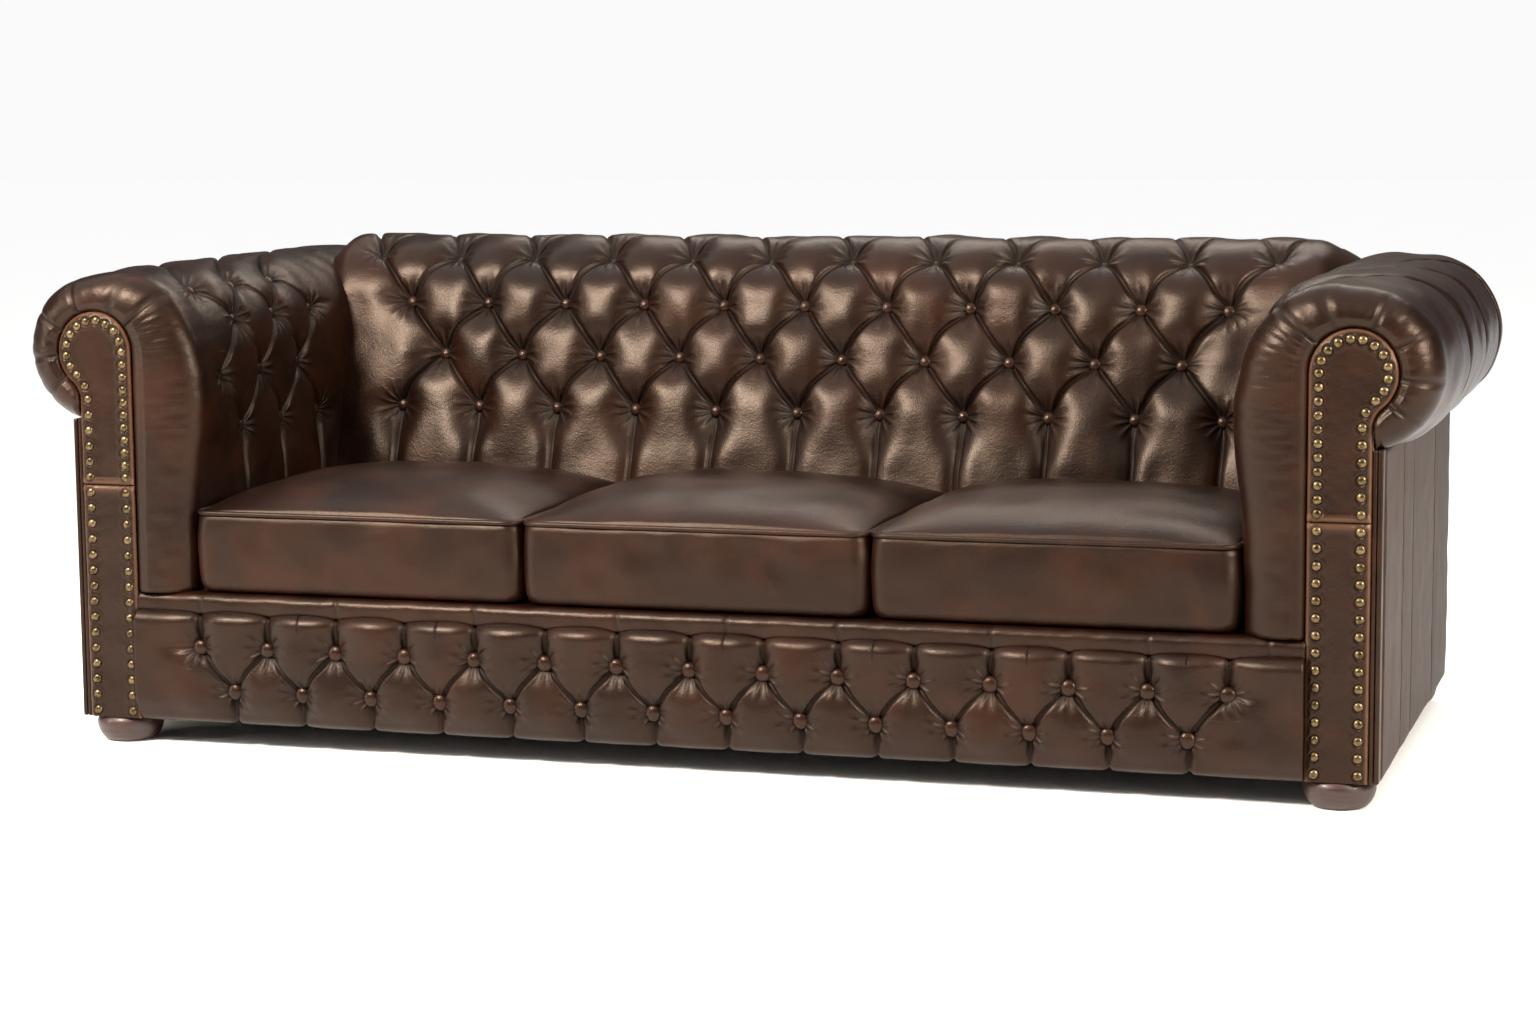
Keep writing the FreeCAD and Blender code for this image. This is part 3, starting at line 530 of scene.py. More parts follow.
def dress(thing, finish, slot, body, *nodes, fill=None):
    """Give a finished piece its material, its body and the frame pieces that it stands for."""
    thing.data.materials.clear()
    thing.data.materials.append(finish)
    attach(thing, body)
    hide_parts(*nodes)
    print(thing.name, len(thing.data.polygons), "faces")


def join(things, name):
    """Make one piece of several."""
    deselect()
    for thing in things:
        thing.select_set(True)
    bpy.context.view_layer.objects.active = things[0]
    bpy.ops.object.join()
    things[0].name = name
    return things[0]


def smooth(low, high, numbers):
    """0 below low, 1 above high, and a soft step between."""
    share = np.clip((numbers - low) / (high - low), 0, 1)
    return share * share * (3 - 2 * share)


def waves(first, second, size, seed, count=14):
    """Soft random waves over a surface, about -1 to 1, with bumps of a size."""
    maker = random.Random(seed)
    total = np.zeros(np.broadcast(first, second).shape)
    for _ in range(count):
        angle, phase = maker.uniform(0, math.tau), maker.uniform(0, math.tau)
        stretch = maker.uniform(0.6, 1.7) * math.tau / size
        total += np.sin((first * math.cos(angle) + second * math.sin(angle)) * stretch + phase)
    return total / math.sqrt(count)


# %% [markdown]
# ## Deep buttoning
# A deep-buttoned hide is a net of diamonds. Twine pulls each button down to a pit, and the spare leather
# between neighbours is folded into a pleat. On the net, every pit has whole numbers in two slanting
# coordinates, so each diamond is a unit square and each pleat an edge of one. Past the last row the pleats
# run on straight, and past the last button the hide is plain. Tufts can also be sculpted or simulated as
# cloth. A formula over the net is chosen, because every diamond comes out alike and every pit lies at its
# button.


# %% Quilted heights
SLIT_WIDTH = 2.4
PIT_WIDTH = 17
DIP_WIDTH = 11.0
PLAIN_RISE = 80
GATHER_START = (6, 13)
GATHER_END = (16, 44)


class Quilt:
    """Heights of a buttoned hide, from the row and the place along it."""

    SADDLE = 0.66
    SHARP = 0.5
    FUNNEL = 0.5

    def __init__(self, pitch, row_step, shift, last_row, left, right, bow=-8.0):
        self.pitch, self.row_step, self.shift, self.last_row = pitch, row_step, shift, last_row
        self.left, self.right, self.bow = left, right, bow
        self.width = pitch * row_step / math.hypot(pitch / 2, row_step)

    def slants(self, place, row):
        """The two slanting coordinates, whole at every pit."""
        inside = np.clip(row, 0, self.last_row)
        return place + inside / 2 + self.shift, place - inside / 2 + self.shift

    def __call__(self, place, row):
        """Height share over the pits, nearness to a pleat, the way to the nearest pit and the bow."""
        edges = np.arange(self.last_row + 1)
        within = np.clip(row, 0, self.last_row)
        low = np.interp(within, edges, self.left)
        high = np.interp(within, edges, self.right)
        held = np.clip(place, low, high)
        first, second = self.slants(held, row)
        one, two = np.abs(np.sin(math.pi * first)), np.abs(np.sin(math.pi * second))
        swell = (1 - (1 - one ** 2) * (1 - two ** 2)) ** self.FUNNEL
        height = self.SADDLE * swell + (1 - self.SADDLE) * (one * two) ** self.SHARP
        apart = np.arcsin(np.clip(np.minimum(one, two), 0, 1)) / math.pi * self.width
        past = np.maximum(row - self.last_row, -row).clip(0) * self.row_step
        dip = 1 - (1 - self.SADDLE) * 0.8 * np.exp(-(apart / DIP_WIDTH) ** 2)
        height = height + (dip - height) * smooth(0, 90, past)
        out = np.abs(place - held) * self.pitch
        rise = np.sin(np.clip(out / PLAIN_RISE, 0, 1) * math.pi / 2) ** 0.7
        height = height + (1 - height) * rise
        slit = np.exp(-(apart / SLIT_WIDTH) ** 2) * (1 - smooth(0, 10, out))
        pit_one, pit_two = np.round(first), np.round(second)
        across = (place - (pit_one + pit_two) / 2 + self.shift) * self.pitch
        upward = (row - (pit_one - pit_two)) * self.row_step
        reach = np.hypot(across, upward)
        crease = np.maximum(slit, np.exp(-(reach / PIT_WIDTH) ** 2))
        hold = smooth(*GATHER_START, reach) * (1 - smooth(*GATHER_END, reach))
        way = np.stack([across * MM, upward * MM, hold], -1)
        inside = (1 - smooth(0, 20, past)) * (1 - smooth(0, 30, out))
        bow = self.bow * np.sin(math.pi * first) ** 2 * np.cos(math.pi * second) ** 2 * inside
        return height, slit, crease, way, bow

    def split(self, place, row):
        """Which diagonal of a face lies along the nearest pleat: 2 falls back, 1 runs on."""
        place, row = np.meshgrid(place, row, indexing="ij")
        first, second = self.slants(place, row)
        nearer = np.abs(np.sin(math.pi * first)) < np.abs(np.sin(math.pi * second))
        kinds = np.where(nearer, 2, 1)
        outside = (row < 0) | (row > self.last_row)
        return np.where(outside, 0, kinds)


def steps(*knots):
    """Distances with an even spacing between knots, given as (distance, cells to the next)."""
    parts = [np.linspace(a[0], b[0], a[1], endpoint=False) for a, b in zip(knots, knots[1:])]
    return np.concatenate(parts + [[knots[-1][0]]])


def row_numbers(travel, rows, step):
    """Row numbers along an outline: whole at the rows, and even steps before the first and past the last."""
    last = len(rows) - 1
    row = np.interp(travel, rows, range(last + 1))
    row = np.where(travel < rows[0], (travel - rows[0]) / step, row)
    return np.where(travel > rows[-1], last + (travel - rows[-1]) / step, row)


def middles(numbers):
    """The values half-way between neighbours."""
    return (numbers[1:] + numbers[:-1]) / 2


def widen(table, extra):
    """Add zeros to each row for the hidden points that close a skin."""
    return np.concatenate([table, np.zeros((len(table), extra) + table.shape[2:], table.dtype)], 1)


def marks(crease, share, way, extra=0):
    """What a quilted hide tells its finish at each point."""
    # The finish darkens points near a crease and points that lie deep as painted shade.
    hollow = (1 - share.clip(0, 1)) ** 2.0
    return {name: widen(table, extra) for name, table in (
        ("crease", crease), ("hollow", hollow), ("tuft", way))}


# %% [markdown]
# ## The inside back
# The back leans, turns over a round shoulder and rolls down behind, with four rows of buttons on the
# leaning side and the shoulder and a fifth row of pits on the roll. Its moulding is fitted to the box of
# the frame's own pad: the lean starts at the seat and the roll ends at the top and rear.

# %% Back
BUTTON_PITCH = 139.4
ROW_STEP = 85.0
LOWEST_ROW = 487.0
LEAN = math.radians(16)
ROLL_RADIUS = 112.0
SHOULDER_RADIUS = 120.0
SHOULDER_ROW = 52.0
ARM_FACE = 815.0
CELLS = 18
ROLL_SETBACK = 174.6
SHOULDER_TO_ROLL = 140

pad_low, pad_high = corners("back_pad")
roll_y = pad_high[1] - FRONT_Y - ROLL_RADIUS
roll_z = pad_high[2] - ROLL_RADIUS
panel_low, panel_high = corners("outside_back")
panel_depth = panel_high[1] - FRONT_Y
roll_foot = panel_high[2]
rail_low, rail_high = corners("back_top_rail")
board_high = corners("back_board")[1]
shoulder_y, shoulder_z = panel_depth - ROLL_SETBACK, pad_high[2] - SHOULDER_RADIUS
lean_y = shoulder_y - SHOULDER_RADIUS * math.cos(LEAN)
lean_z = shoulder_z + SHOULDER_RADIUS * math.sin(LEAN)
deck_z = pad_low[2]
foot_y = lean_y - (lean_z - deck_z) * math.tan(LEAN)
foot_turn = math.degrees(math.asin((roll_z - roll_foot) / ROLL_RADIUS))

back_line = Outline((foot_y, deck_z))
back_line.run((lean_y, lean_z))
row_two_end = back_line.length
back_line.arc((shoulder_y, shoulder_z), 90 - math.degrees(LEAN))
back_line.run((roll_y, roll_z + ROLL_RADIUS))
back_line.arc((roll_y, roll_z), 90 + foot_turn)

rows = [(LOWEST_ROW + index * ROW_STEP - deck_z) / math.cos(LEAN) for index in range(3)]
rows.append(row_two_end + SHOULDER_RADIUS * math.radians(SHOULDER_ROW - math.degrees(LEAN)))
rows.append(rows[-1] + SHOULDER_TO_ROLL)
travel = steps((0, 24), *((row, CELLS) for row in rows[:-1]), (rows[-1], 40), (back_line.length, 0))
step = ROW_STEP / math.cos(LEAN)
row_at = row_numbers(travel, rows, step)
print("back outline", round(back_line.length), "mm, rows at", [round(row) for row in rows])

BACK_END = 948.0
BACK_CROWN = ((-1.5, 0, 3, 3.6, 4.2), (22, 30, 28, 18, 12))
SLIT = 7.5
END_SHRINK = 0.45
cell = BUTTON_PITCH / 2 / CELLS
count = int(BACK_END / cell)
across = np.arange(-count, count + 1) * cell
back_quilt = Quilt(
    BUTTON_PITCH, step, 0.0, 4, left=(-5, -4.5, -5, -5.5, -6), right=(5, 4.5, 5, 5.5, 6))


def back_skin():
    """The hide of the back, from the seat over the roll, closed inside along the frame."""
    place, row = np.meshgrid(across / BUTTON_PITCH, row_at, indexing="ij")
    x, v = np.meshgrid(across, travel, indexing="ij")
    share, slit, crease, way, bow = back_quilt(place, row)
    crown = np.interp(row, *BACK_CROWN)
    height = share * crown * (1 + 0.08 * waves(x, v, 260, 3)) + 0.7 * waves(x, v, 90, 5)
    height -= slit * SLIT * smooth(0, 0.35, share)
    x = x + bow
    spot = raised(back_line, v, height)
    end = smooth(0, 1, (np.abs(x) - ARM_FACE) / (BACK_END - ARM_FACE))
    core = np.array([roll_y, roll_z - 30])
    spot = np.where(v[..., None] > rows[2], spot + (core - spot) * (end * END_SHRINK)[..., None], spot)
    x = x + waves(v, x, 120, 8) * 1.2
    hidden = np.array([
        (rail_high[1] - FRONT_Y, roll_foot), (rail_high[1] - FRONT_Y, rail_low[2]),
        (board_high[1] - FRONT_Y, rail_low[2]), (foot_y + 110, deck_z)])
    hide = np.broadcast_to(hidden, (len(across), len(hidden), 2))
    spot = np.concatenate([spot, hide], 1)
    x = np.concatenate([x, np.broadcast_to(across[:, None], (len(across), len(hidden)))], 1)
    kinds = back_quilt.split(middles(across) / BUTTON_PITCH, middles(row_at))
    return skin("back_hide", set_along(x, spot), split=widen(kinds, len(hidden) + 1),
                attributes=marks(crease, share, way, len(hidden)))


dress(back_skin(), HIDE, "hide_leather", BODY, "back_pad", fill=0.8)


# %% [markdown]
# ## The arms
# Inside arm, roll and front border are one hide. It is modelled as an outline that runs up the inside, over
# the shoulder and round the roll, swept from front to back. At the front it turns in towards the facing as
# a fat border, gathered into six pleats round the scroll. Over the top the pleats fan out, because the
# outside has fewer of them than the inside has buttons.

# %% Arm outline
ARM_ROLL_RADIUS = 112.0
ARM_SHOULDER_RADIUS = 120.0
FIRST_ARM_BUTTON = 115.0
ARM_ROW_ANGLES = (23.0, 52.0)
SCROLL_RADIUS = 62.0
FACING_THICKNESS = 12.0
NECK_RADIUS = 35.0
facing_in, facing_out = facing_low[0], facing_high[0]
scroll_x, scroll_z = facing_in + SCROLL_RADIUS, upper_high[2] - SCROLL_RADIUS
arm_high = corners("arm_pad_right")[1]
roll_x = arm_high[0] - ARM_ROLL_RADIUS
arm_roll_z = arm_high[2] - ARM_ROLL_RADIUS
side_low, side_high = corners("outside_arm_right")
arm_foot_z = side_high[2]
arm_shoulder_z = arm_high[2] - ARM_SHOULDER_RADIUS
under = math.degrees(math.asin((arm_roll_z - arm_foot_z) / ARM_ROLL_RADIUS))

arm_line = Outline((ARM_FACE, deck_z))
arm_line.run((ARM_FACE, arm_shoulder_z))
shoulder_start = arm_line.length
arm_line.arc((ARM_FACE + ARM_SHOULDER_RADIUS, arm_shoulder_z), 90)
arm_line.run((roll_x, arm_high[2]))
roll_start = arm_line.length
arm_line.arc((roll_x, arm_roll_z), 90 + under)
print("arm outline", round(arm_line.length), "mm")

arm_rows = [LOWEST_ROW - deck_z, LOWEST_ROW + ROW_STEP - deck_z]
arm_rows += [shoulder_start + ARM_SHOULDER_RADIUS * math.radians(angle) for angle in ARM_ROW_ANGLES]
arm_travel = steps(
    (0, 30), *((row, CELLS) for row in arm_rows), (roll_start + 20, 60), (arm_line.length, 0))
arm_row_at = row_numbers(arm_travel, arm_rows, ROW_STEP)
print("arm rows at", [round(row) for row in arm_rows])

# %% [markdown]
# The border has to meet the facing all the way round, so the facing's edge is worked out first: a straight
# leg, a round scroll, and a hollow neck that touches both.

# %% Facing outline
neck_x = facing_out + NECK_RADIUS
neck_z = scroll_z - math.sqrt((SCROLL_RADIUS + NECK_RADIUS) ** 2 - (neck_x - scroll_x) ** 2)
neck_turn = math.atan2(scroll_z - neck_z, neck_x - scroll_x)


def facing_edge(angles):
    """Distance from the middle of the scroll to the facing's edge, in each direction."""
    reach = np.full(angles.shape, SCROLL_RADIUS)
    for index, angle in enumerate(angles):
        if angle > -neck_turn:
            continue
        ray = np.array([math.cos(angle), math.sin(angle)])
        offset = np.array([neck_x - scroll_x, neck_z - scroll_z])
        along = ray @ offset
        short = offset @ offset - along ** 2
        if short < NECK_RADIUS ** 2:
            reach[index] = along - math.sqrt(NECK_RADIUS ** 2 - short)
        hits = scroll_z + reach[index] * ray[1]
        if short >= NECK_RADIUS ** 2 or hits < neck_z:
            reach[index] = (facing_out - scroll_x) / ray[0]
    return reach


def facing_points(points):
    """The point of the facing's edge that each point of the arm outline turns in to."""
    angles = np.arctan2(points[:, 1] - scroll_z, points[:, 0] - scroll_x)
    angles = np.where(angles < -math.pi / 2, math.pi, angles)
    reach = facing_edge(angles)
    edge = np.stack([scroll_x + reach * np.cos(angles), scroll_z + reach * np.sin(angles)], -1)
    straight = points[:, 1] < scroll_z
    inner = straight & (points[:, 0] < scroll_x)
    edge[inner] = np.stack([np.full(inner.sum(), facing_in), points[inner, 1]], -1)
    return edge


print("neck at x", round(neck_x), "z", round(neck_z))

# %% [markdown]
# The arm's hide is made in three lengths that share their points: the body, swept along the arm, the fat
# border at the front, and the rear end of the roll. On the body the plain hide beside the facing fades into
# the tufts, and over the roll the pleats become long, shallow seams.

# %% Arm body
BODY_START = -19
ARM_CROWN = ((-1.5, 0, 2, 3, 4.5), (14, 19, 19, 17, 11))
PLAIN_FRONT = (80, 190)
ROLL_PLEATS = (330.0, 570.0, 800.0)
RING_PLEATS = (141, 112, 67, 30, -7, -39)
arm_cell = BUTTON_PITCH / 2 / CELLS
arm_quilt = Quilt(
    BUTTON_PITCH, ROW_STEP, 0.5, 3, left=(0.5, 0, 0.5, 0), right=(2.5, 2, 2.5, 2))


def front_fullness(travel):
    """How far the plain hide of the front stands over the pits, along the outline."""
    knots = [0, 157, 237, 297, 337, 370, 400, 450, 500, 560, 620, arm_line.length]
    return np.interp(travel, knots, (-3, 2, 12, 18, 15, 8, 4, 2, 6, 9, 3, 0))


def arm_body(place, first_depth, seed):
    """Inside, shoulder and roll: points of the section, their depths and what they tell the finish."""
    t, row = np.meshgrid(place, arm_row_at, indexing="ij")
    inside = FIRST_ARM_BUTTON + t * BUTTON_PITCH
    outside = np.interp(
        t, (place[0], 0, 1, 2, place[-1]), (first_depth, *ROLL_PLEATS, inside[-1, 0]))
    v = np.broadcast_to(arm_travel, t.shape)
    fan = smooth(arm_rows[3], roll_start + 90, v)
    depth = inside + (outside - inside) * fan
    share, slit, crease, way, bow = arm_quilt(t, row)
    outer = smooth(roll_start - 60, roll_start + 60, v)
    lines = np.abs(((t - np.round(np.clip(t, 0, 2))) * (235 - 95 * (1 - fan))))
    groove = 1 - 0.35 * np.exp(-(lines / 9.0) ** 2) - 0.25 * np.exp(-lines / 34.0)
    share = share + (groove - share) * outer
    slit = slit * (1 - outer) + np.exp(-(lines / SLIT_WIDTH) ** 2) * outer
    crease = np.maximum(crease * (1 - outer), slit)
    crown = np.interp(row, *ARM_CROWN)
    full = np.broadcast_to(front_fullness(arm_travel), t.shape)
    peak = crown + (full - crown) * (1 - smooth(*PLAIN_FRONT, depth))
    height = share * peak * (1 + 0.08 * waves(depth, v, 240, seed)) + 0.7 * waves(depth, v, 80, seed + 1)
    height -= slit * SLIT * smooth(0, 0.35, share)
    points, normals = arm_line.at(v)
    return points, points + normals * height[..., None], depth + bow * (1 - fan), share, crease, way


# %% Front border
TUCK = 20.0
BORDER_CORNER = 0.74
BORDER_FLAT = 1 - BORDER_CORNER
PLEAT_TURN = 2.2
PLEAT_DEPTH = 6.5


def border(rim, edge, first_depth, seed):
    """The front border: it comes up beside the facing, runs flat and turns over to the body."""
    reach = np.linalg.norm(rim - edge, axis=1)
    inner = np.minimum(TUCK / reach, 0.75 * BORDER_FLAT)
    level = np.ones_like(reach)
    ring = []
    for angle in np.radians(np.linspace(0, 90, 7)[:-1]):
        ring.append((inner * (1 - math.cos(angle)), (11 - 15 * math.sin(angle)) * level))
    for share in np.linspace(0, 1, 6)[:-1]:
        ring.append((inner + (BORDER_FLAT - inner) * share,
                     (-4 - 1.5 * math.sin(share * math.pi / 2)) * level))
    for angle in np.radians(np.linspace(0, 90, 15)[:-1]):
        ring.append(((BORDER_FLAT + BORDER_CORNER * math.sin(angle)) * level,
                     (-5.5 + (first_depth + 5.0) * (1 - math.cos(angle))) * level))
    lateral, depth = (np.array(column) for column in zip(*ring))
    angles = np.degrees(np.arctan2(rim[:, 1] - scroll_z, rim[:, 0] - scroll_x))
    angles = np.where(angles < -90, angles + 360, angles)
    fold = sum(np.exp(-((angles - pleat) / PLEAT_TURN) ** 2) for pleat in RING_PLEATS)
    fold = fold * (rim[:, 1] > scroll_z - 120)
    crease = fold * np.clip(1.15 - lateral * 0.75, 0, 1) * smooth(0, 0.10, lateral)
    lateral = lateral * (1 - 0.03 * crease)
    lift = 0.6 * waves(np.cumsum(reach)[None] * 0.2, lateral * 60, 46, seed)
    depth = depth + crease * PLEAT_DEPTH + lift * smooth(0.05, 0.3, lateral)
    return edge + (rim - edge) * lateral[..., None], depth, crease


# %% Arm ends and skin
TAIL_TURNS = np.radians(np.linspace(0, 84, 13)[1:])
ROLL_AXIS = np.array([roll_x, arm_roll_z])
FLAT_CLOSING = 0.2


def tail(spot, depth):
    """The rear end: a dome on the roll, and a flat end inside the back below it."""
    on_roll = smooth(arm_foot_z - 10, arm_foot_z + 50, spot[:, 1])
    closing = np.cos(TAIL_TURNS)[:, None] ** (FLAT_CLOSING + (1 - FLAT_CLOSING) * on_roll)
    reach_back = on_roll * ARM_ROLL_RADIUS + (1 - on_roll) * (panel_depth - 4 - depth)
    return (ROLL_AXIS + (spot - ROLL_AXIS) * closing[..., None],
            depth + reach_back * np.sin(TAIL_TURNS)[:, None])


def arm_skin(side, hand, seed):
    """Join border, body and tail, closed inside along the frame."""
    body_count = int((roll_y - FIRST_ARM_BUTTON) / arm_cell)
    place = np.arange(BODY_START, body_count + 1) * arm_cell / BUTTON_PITCH
    first_depth = FIRST_ARM_BUTTON + BODY_START * arm_cell
    points, spot, depth, share, crease, way = arm_body(place, first_depth, seed)
    ring_spot, ring_depth, ring_crease = border(spot[0], facing_points(points[0]), first_depth, seed + 4)
    tail_spot, tail_depth = tail(spot[-1], depth[-1])
    before, after = len(ring_depth), len(tail_depth)
    ends = lambda table, value=0: np.concatenate([
        np.full((before, *table.shape[1:]), value, table.dtype), table,
        np.full((after, *table.shape[1:]), value, table.dtype)])
    spot = np.concatenate([ring_spot, spot, tail_spot])
    depth = np.concatenate([ring_depth, depth, tail_depth])
    crease = np.concatenate([ring_crease, crease, np.zeros_like(tail_depth)])
    share, way = ends(share, 0.8), ends(way)

    hidden = np.array([(facing_out + 2, arm_foot_z), (facing_in, arm_foot_z), (facing_in, deck_z)])
    core = np.broadcast_to(hidden, (len(spot), *hidden.shape)).copy()
    core[-after:] = ROLL_AXIS + (hidden - ROLL_AXIS) * (np.cos(TAIL_TURNS) ** FLAT_CLOSING)[:, None, None]
    hidden_depth = np.maximum(np.repeat(depth[:, :1], len(hidden), axis=1), FACING_THICKNESS + 4)
    spot = np.concatenate([spot, core], 1)
    depth = np.concatenate([depth, hidden_depth], 1)
    grid = np.stack([spot[..., 0] * hand, FRONT_Y + depth, spot[..., 1]], -1)
    kinds = arm_quilt.split(middles(place), middles(arm_row_at))
    return skin(f"arm_hide_{side}", grid, split=widen(ends(kinds), len(hidden) + 1),
                attributes=marks(crease, share, way, len(hidden)))


for seed, (side, hand) in enumerate(SIDES):
    arm_hide = arm_skin(side, hand, 20 + 10 * seed)
    dress(arm_hide, HIDE, "hide_leather", BODY, f"arm_pad_{side}", fill=0.8)

# %% [markdown]
# ## The front rail
# Two staggered rows of buttons run along the rail. Their pleats zigzag between the rows, and run straight
# to the seam above and the edge below. Over the rail lies a plain band, sewn from lengths of hide. Both
# could be cut as flat panels and laid on a block. They are swept like the back instead, the rail with a net
# of two rows and the band with a groove at each seam, so that they meet in one tight line.

# %% Rail and band
RAIL_PITCH = 114.4
RAIL_ROWS = (92.0, 159.0)
RAIL_CELLS = 16
RAIL_CROWN = 21
rail_pad_low, rail_pad_high = corners("rail_pad")
band_low, band_high = corners("seat_band")
rail_face = rail_pad_low[1] - FRONT_Y
band_face = band_low[1] - FRONT_Y
bottom_z, seam_z = rail_pad_low[2], rail_pad_high[2]
rail_line = Outline((rail_face + 24, bottom_z))
rail_line.run((rail_face + 9, bottom_z)).arc((rail_face + 9, bottom_z + 9), 90)
rail_line.run((rail_face, seam_z - 9)).arc((rail_face + 9, seam_z - 9), 90)
rail_line.run((rail_face + 24, seam_z))
turn_length = 15 + 9 * math.pi / 2
rail_rows = [turn_length + height - bottom_z - 9 for height in RAIL_ROWS]
rail_step = rail_rows[1] - rail_rows[0]
rail_travel = steps(
    (0, 4), (15, 13), (rail_rows[0], RAIL_CELLS), (rail_rows[1], 13), (rail_line.length - 15, 3),
    (rail_line.length, 0))
rail_row_at = (rail_travel - rail_rows[0]) / rail_step
rail_cell = RAIL_PITCH / 2 / RAIL_CELLS
rail_quilt = Quilt(
    RAIL_PITCH, rail_step, 0.5, 1, left=(-6.5, -7), right=(6.5, 7), bow=-5.0)


def rail_skin():
    """The quilted hide of the rail, fading out at the seam above and at the edge below."""
    count = int(facing_in / rail_cell)
    across = np.concatenate([[-facing_in + 0.3], np.arange(-count, count + 1) * rail_cell, [facing_in - 0.3]])
    place, row = np.meshgrid(across / RAIL_PITCH, rail_row_at, indexing="ij")
    x, v = np.meshgrid(across, rail_travel, indexing="ij")
    share, slit, crease, way, bow = rail_quilt(place, row)
    fade = smooth(8, 64, v) * (1 - smooth(rail_line.length - 30, rail_line.length - 10, v))
    ends = np.minimum(v - 8, rail_line.length - 10 - v)
    height = share * RAIL_CROWN * fade * (1 + 0.08 * waves(x, v, 200, 41)) + 0.5 * waves(x, v, 70, 42) * fade
    height -= slit * SLIT * 0.8 * smooth(-10, 6, ends)
    x = x + bow
    grid = set_along(x, raised(rail_line, v, height))
    kinds = rail_quilt.split(middles(across) / RAIL_PITCH, middles(rail_row_at))
    # Pits, pleats and hollows are marked for the finish to darken as painted shade.
    return skin("rail_hide", grid, split=widen(kinds, 1), attributes={
        "crease": crease, "hollow": (1 - share.clip(0, 1)) ** 2.0 * fade, "tuft": way})


dress(rail_skin(), HIDE, "hide_leather", BODY, "rail_pad", fill=0.7)

SEAM_WIDTH = 2.2
BAND_SEAMS = (-801, -572, -343, -114, 57, 229, 458, 686, 858)


def band_skin():
    """The plain band over the rail, a little sunk at its seams."""
    line = Outline((band_face + 24, seam_z))
    line.run((band_face + 6, seam_z)).arc((band_face + 6, seam_z + 6), 90)
    line.run((band_face, band_high[2] - 13)).arc((band_face + 13, band_high[2] - 13), 90)
    line.run((rail_pad_high[1] - FRONT_Y + 4, band_high[2]))
    travel = np.linspace(0, line.length, 40)
    across = np.arange(-facing_in + 0.3, facing_in, 3.4)
    across[-1] = facing_in - 0.3
    x, v = np.meshgrid(across, travel, indexing="ij")
    gap = np.min([np.abs(x - seam) for seam in BAND_SEAMS], axis=0)
    face = smooth(14, 30, v) * (1 - smooth(line.length - 34, line.length - 20, v))
    puff = 2.6 * np.sin(np.clip((v - 16) / 44, 0, 1) * math.pi) * (0.75 + 0.25 * smooth(0, 30, gap))
    height = puff - 2.2 * np.exp(-(gap / SEAM_WIDTH) ** 2) * face + 0.4 * waves(x, v, 60, 51) * face
    # The seam grooves are marked for the finish to darken as painted shade.
    crease = np.exp(-(gap / 2.0) ** 2) * face * 0.8
    return skin("seat_band_hide", set_along(x, raised(line, v, height)), attributes={"crease": crease})


dress(band_skin(), HIDE, "hide_leather", BODY, "seat_band", fill=0.7)

# %% [markdown]
# ## Seat cushions
# Each cushion is a full, crowned block of foam in a fitted cover, with a piping cord in its upper seam. It
# could be inflated as cloth, but would come out a little different in each run. So rings of points give its
# sides, and a formula its crown, flat in the middle and round at the edges. The cord is a curve with a
# round bevel.

# %% Cushions
CUSHION_CORNER = 26.0
CUSHION_GAP = 2
CUSHION_REAR = 514.0
CUSHION_SIDE = 124
CUSHION_CROWN = 50.0
WELT_RADIUS = 4.0
WELT_INSET = 0.998


def cushion_rim(half, front, rear):
    """Points round a rectangle with round corners, about 7 mm apart."""
    around = []
    for x, y, begin in ((half, rear, 0), (-half, rear, 90), (-half, front, 180), (half, front, 270)):
        cx = x - math.copysign(CUSHION_CORNER, x)
        cy = y + (CUSHION_CORNER if y == front else -CUSHION_CORNER)
        for angle in np.linspace(begin, begin + 90, 10):
            turned = math.radians(angle)
            around.append((cx + CUSHION_CORNER * math.cos(turned), cy + CUSHION_CORNER * math.sin(turned)))
    dense = []
    for here, there in zip(around, around[1:] + around[:1]):
        parts = max(1, int(math.dist(here, there) / 7))
        for index in range(parts):
            share = index / parts
            dense.append([a + (b - a) * share for a, b in zip(here, there)])
    return np.array(dense)


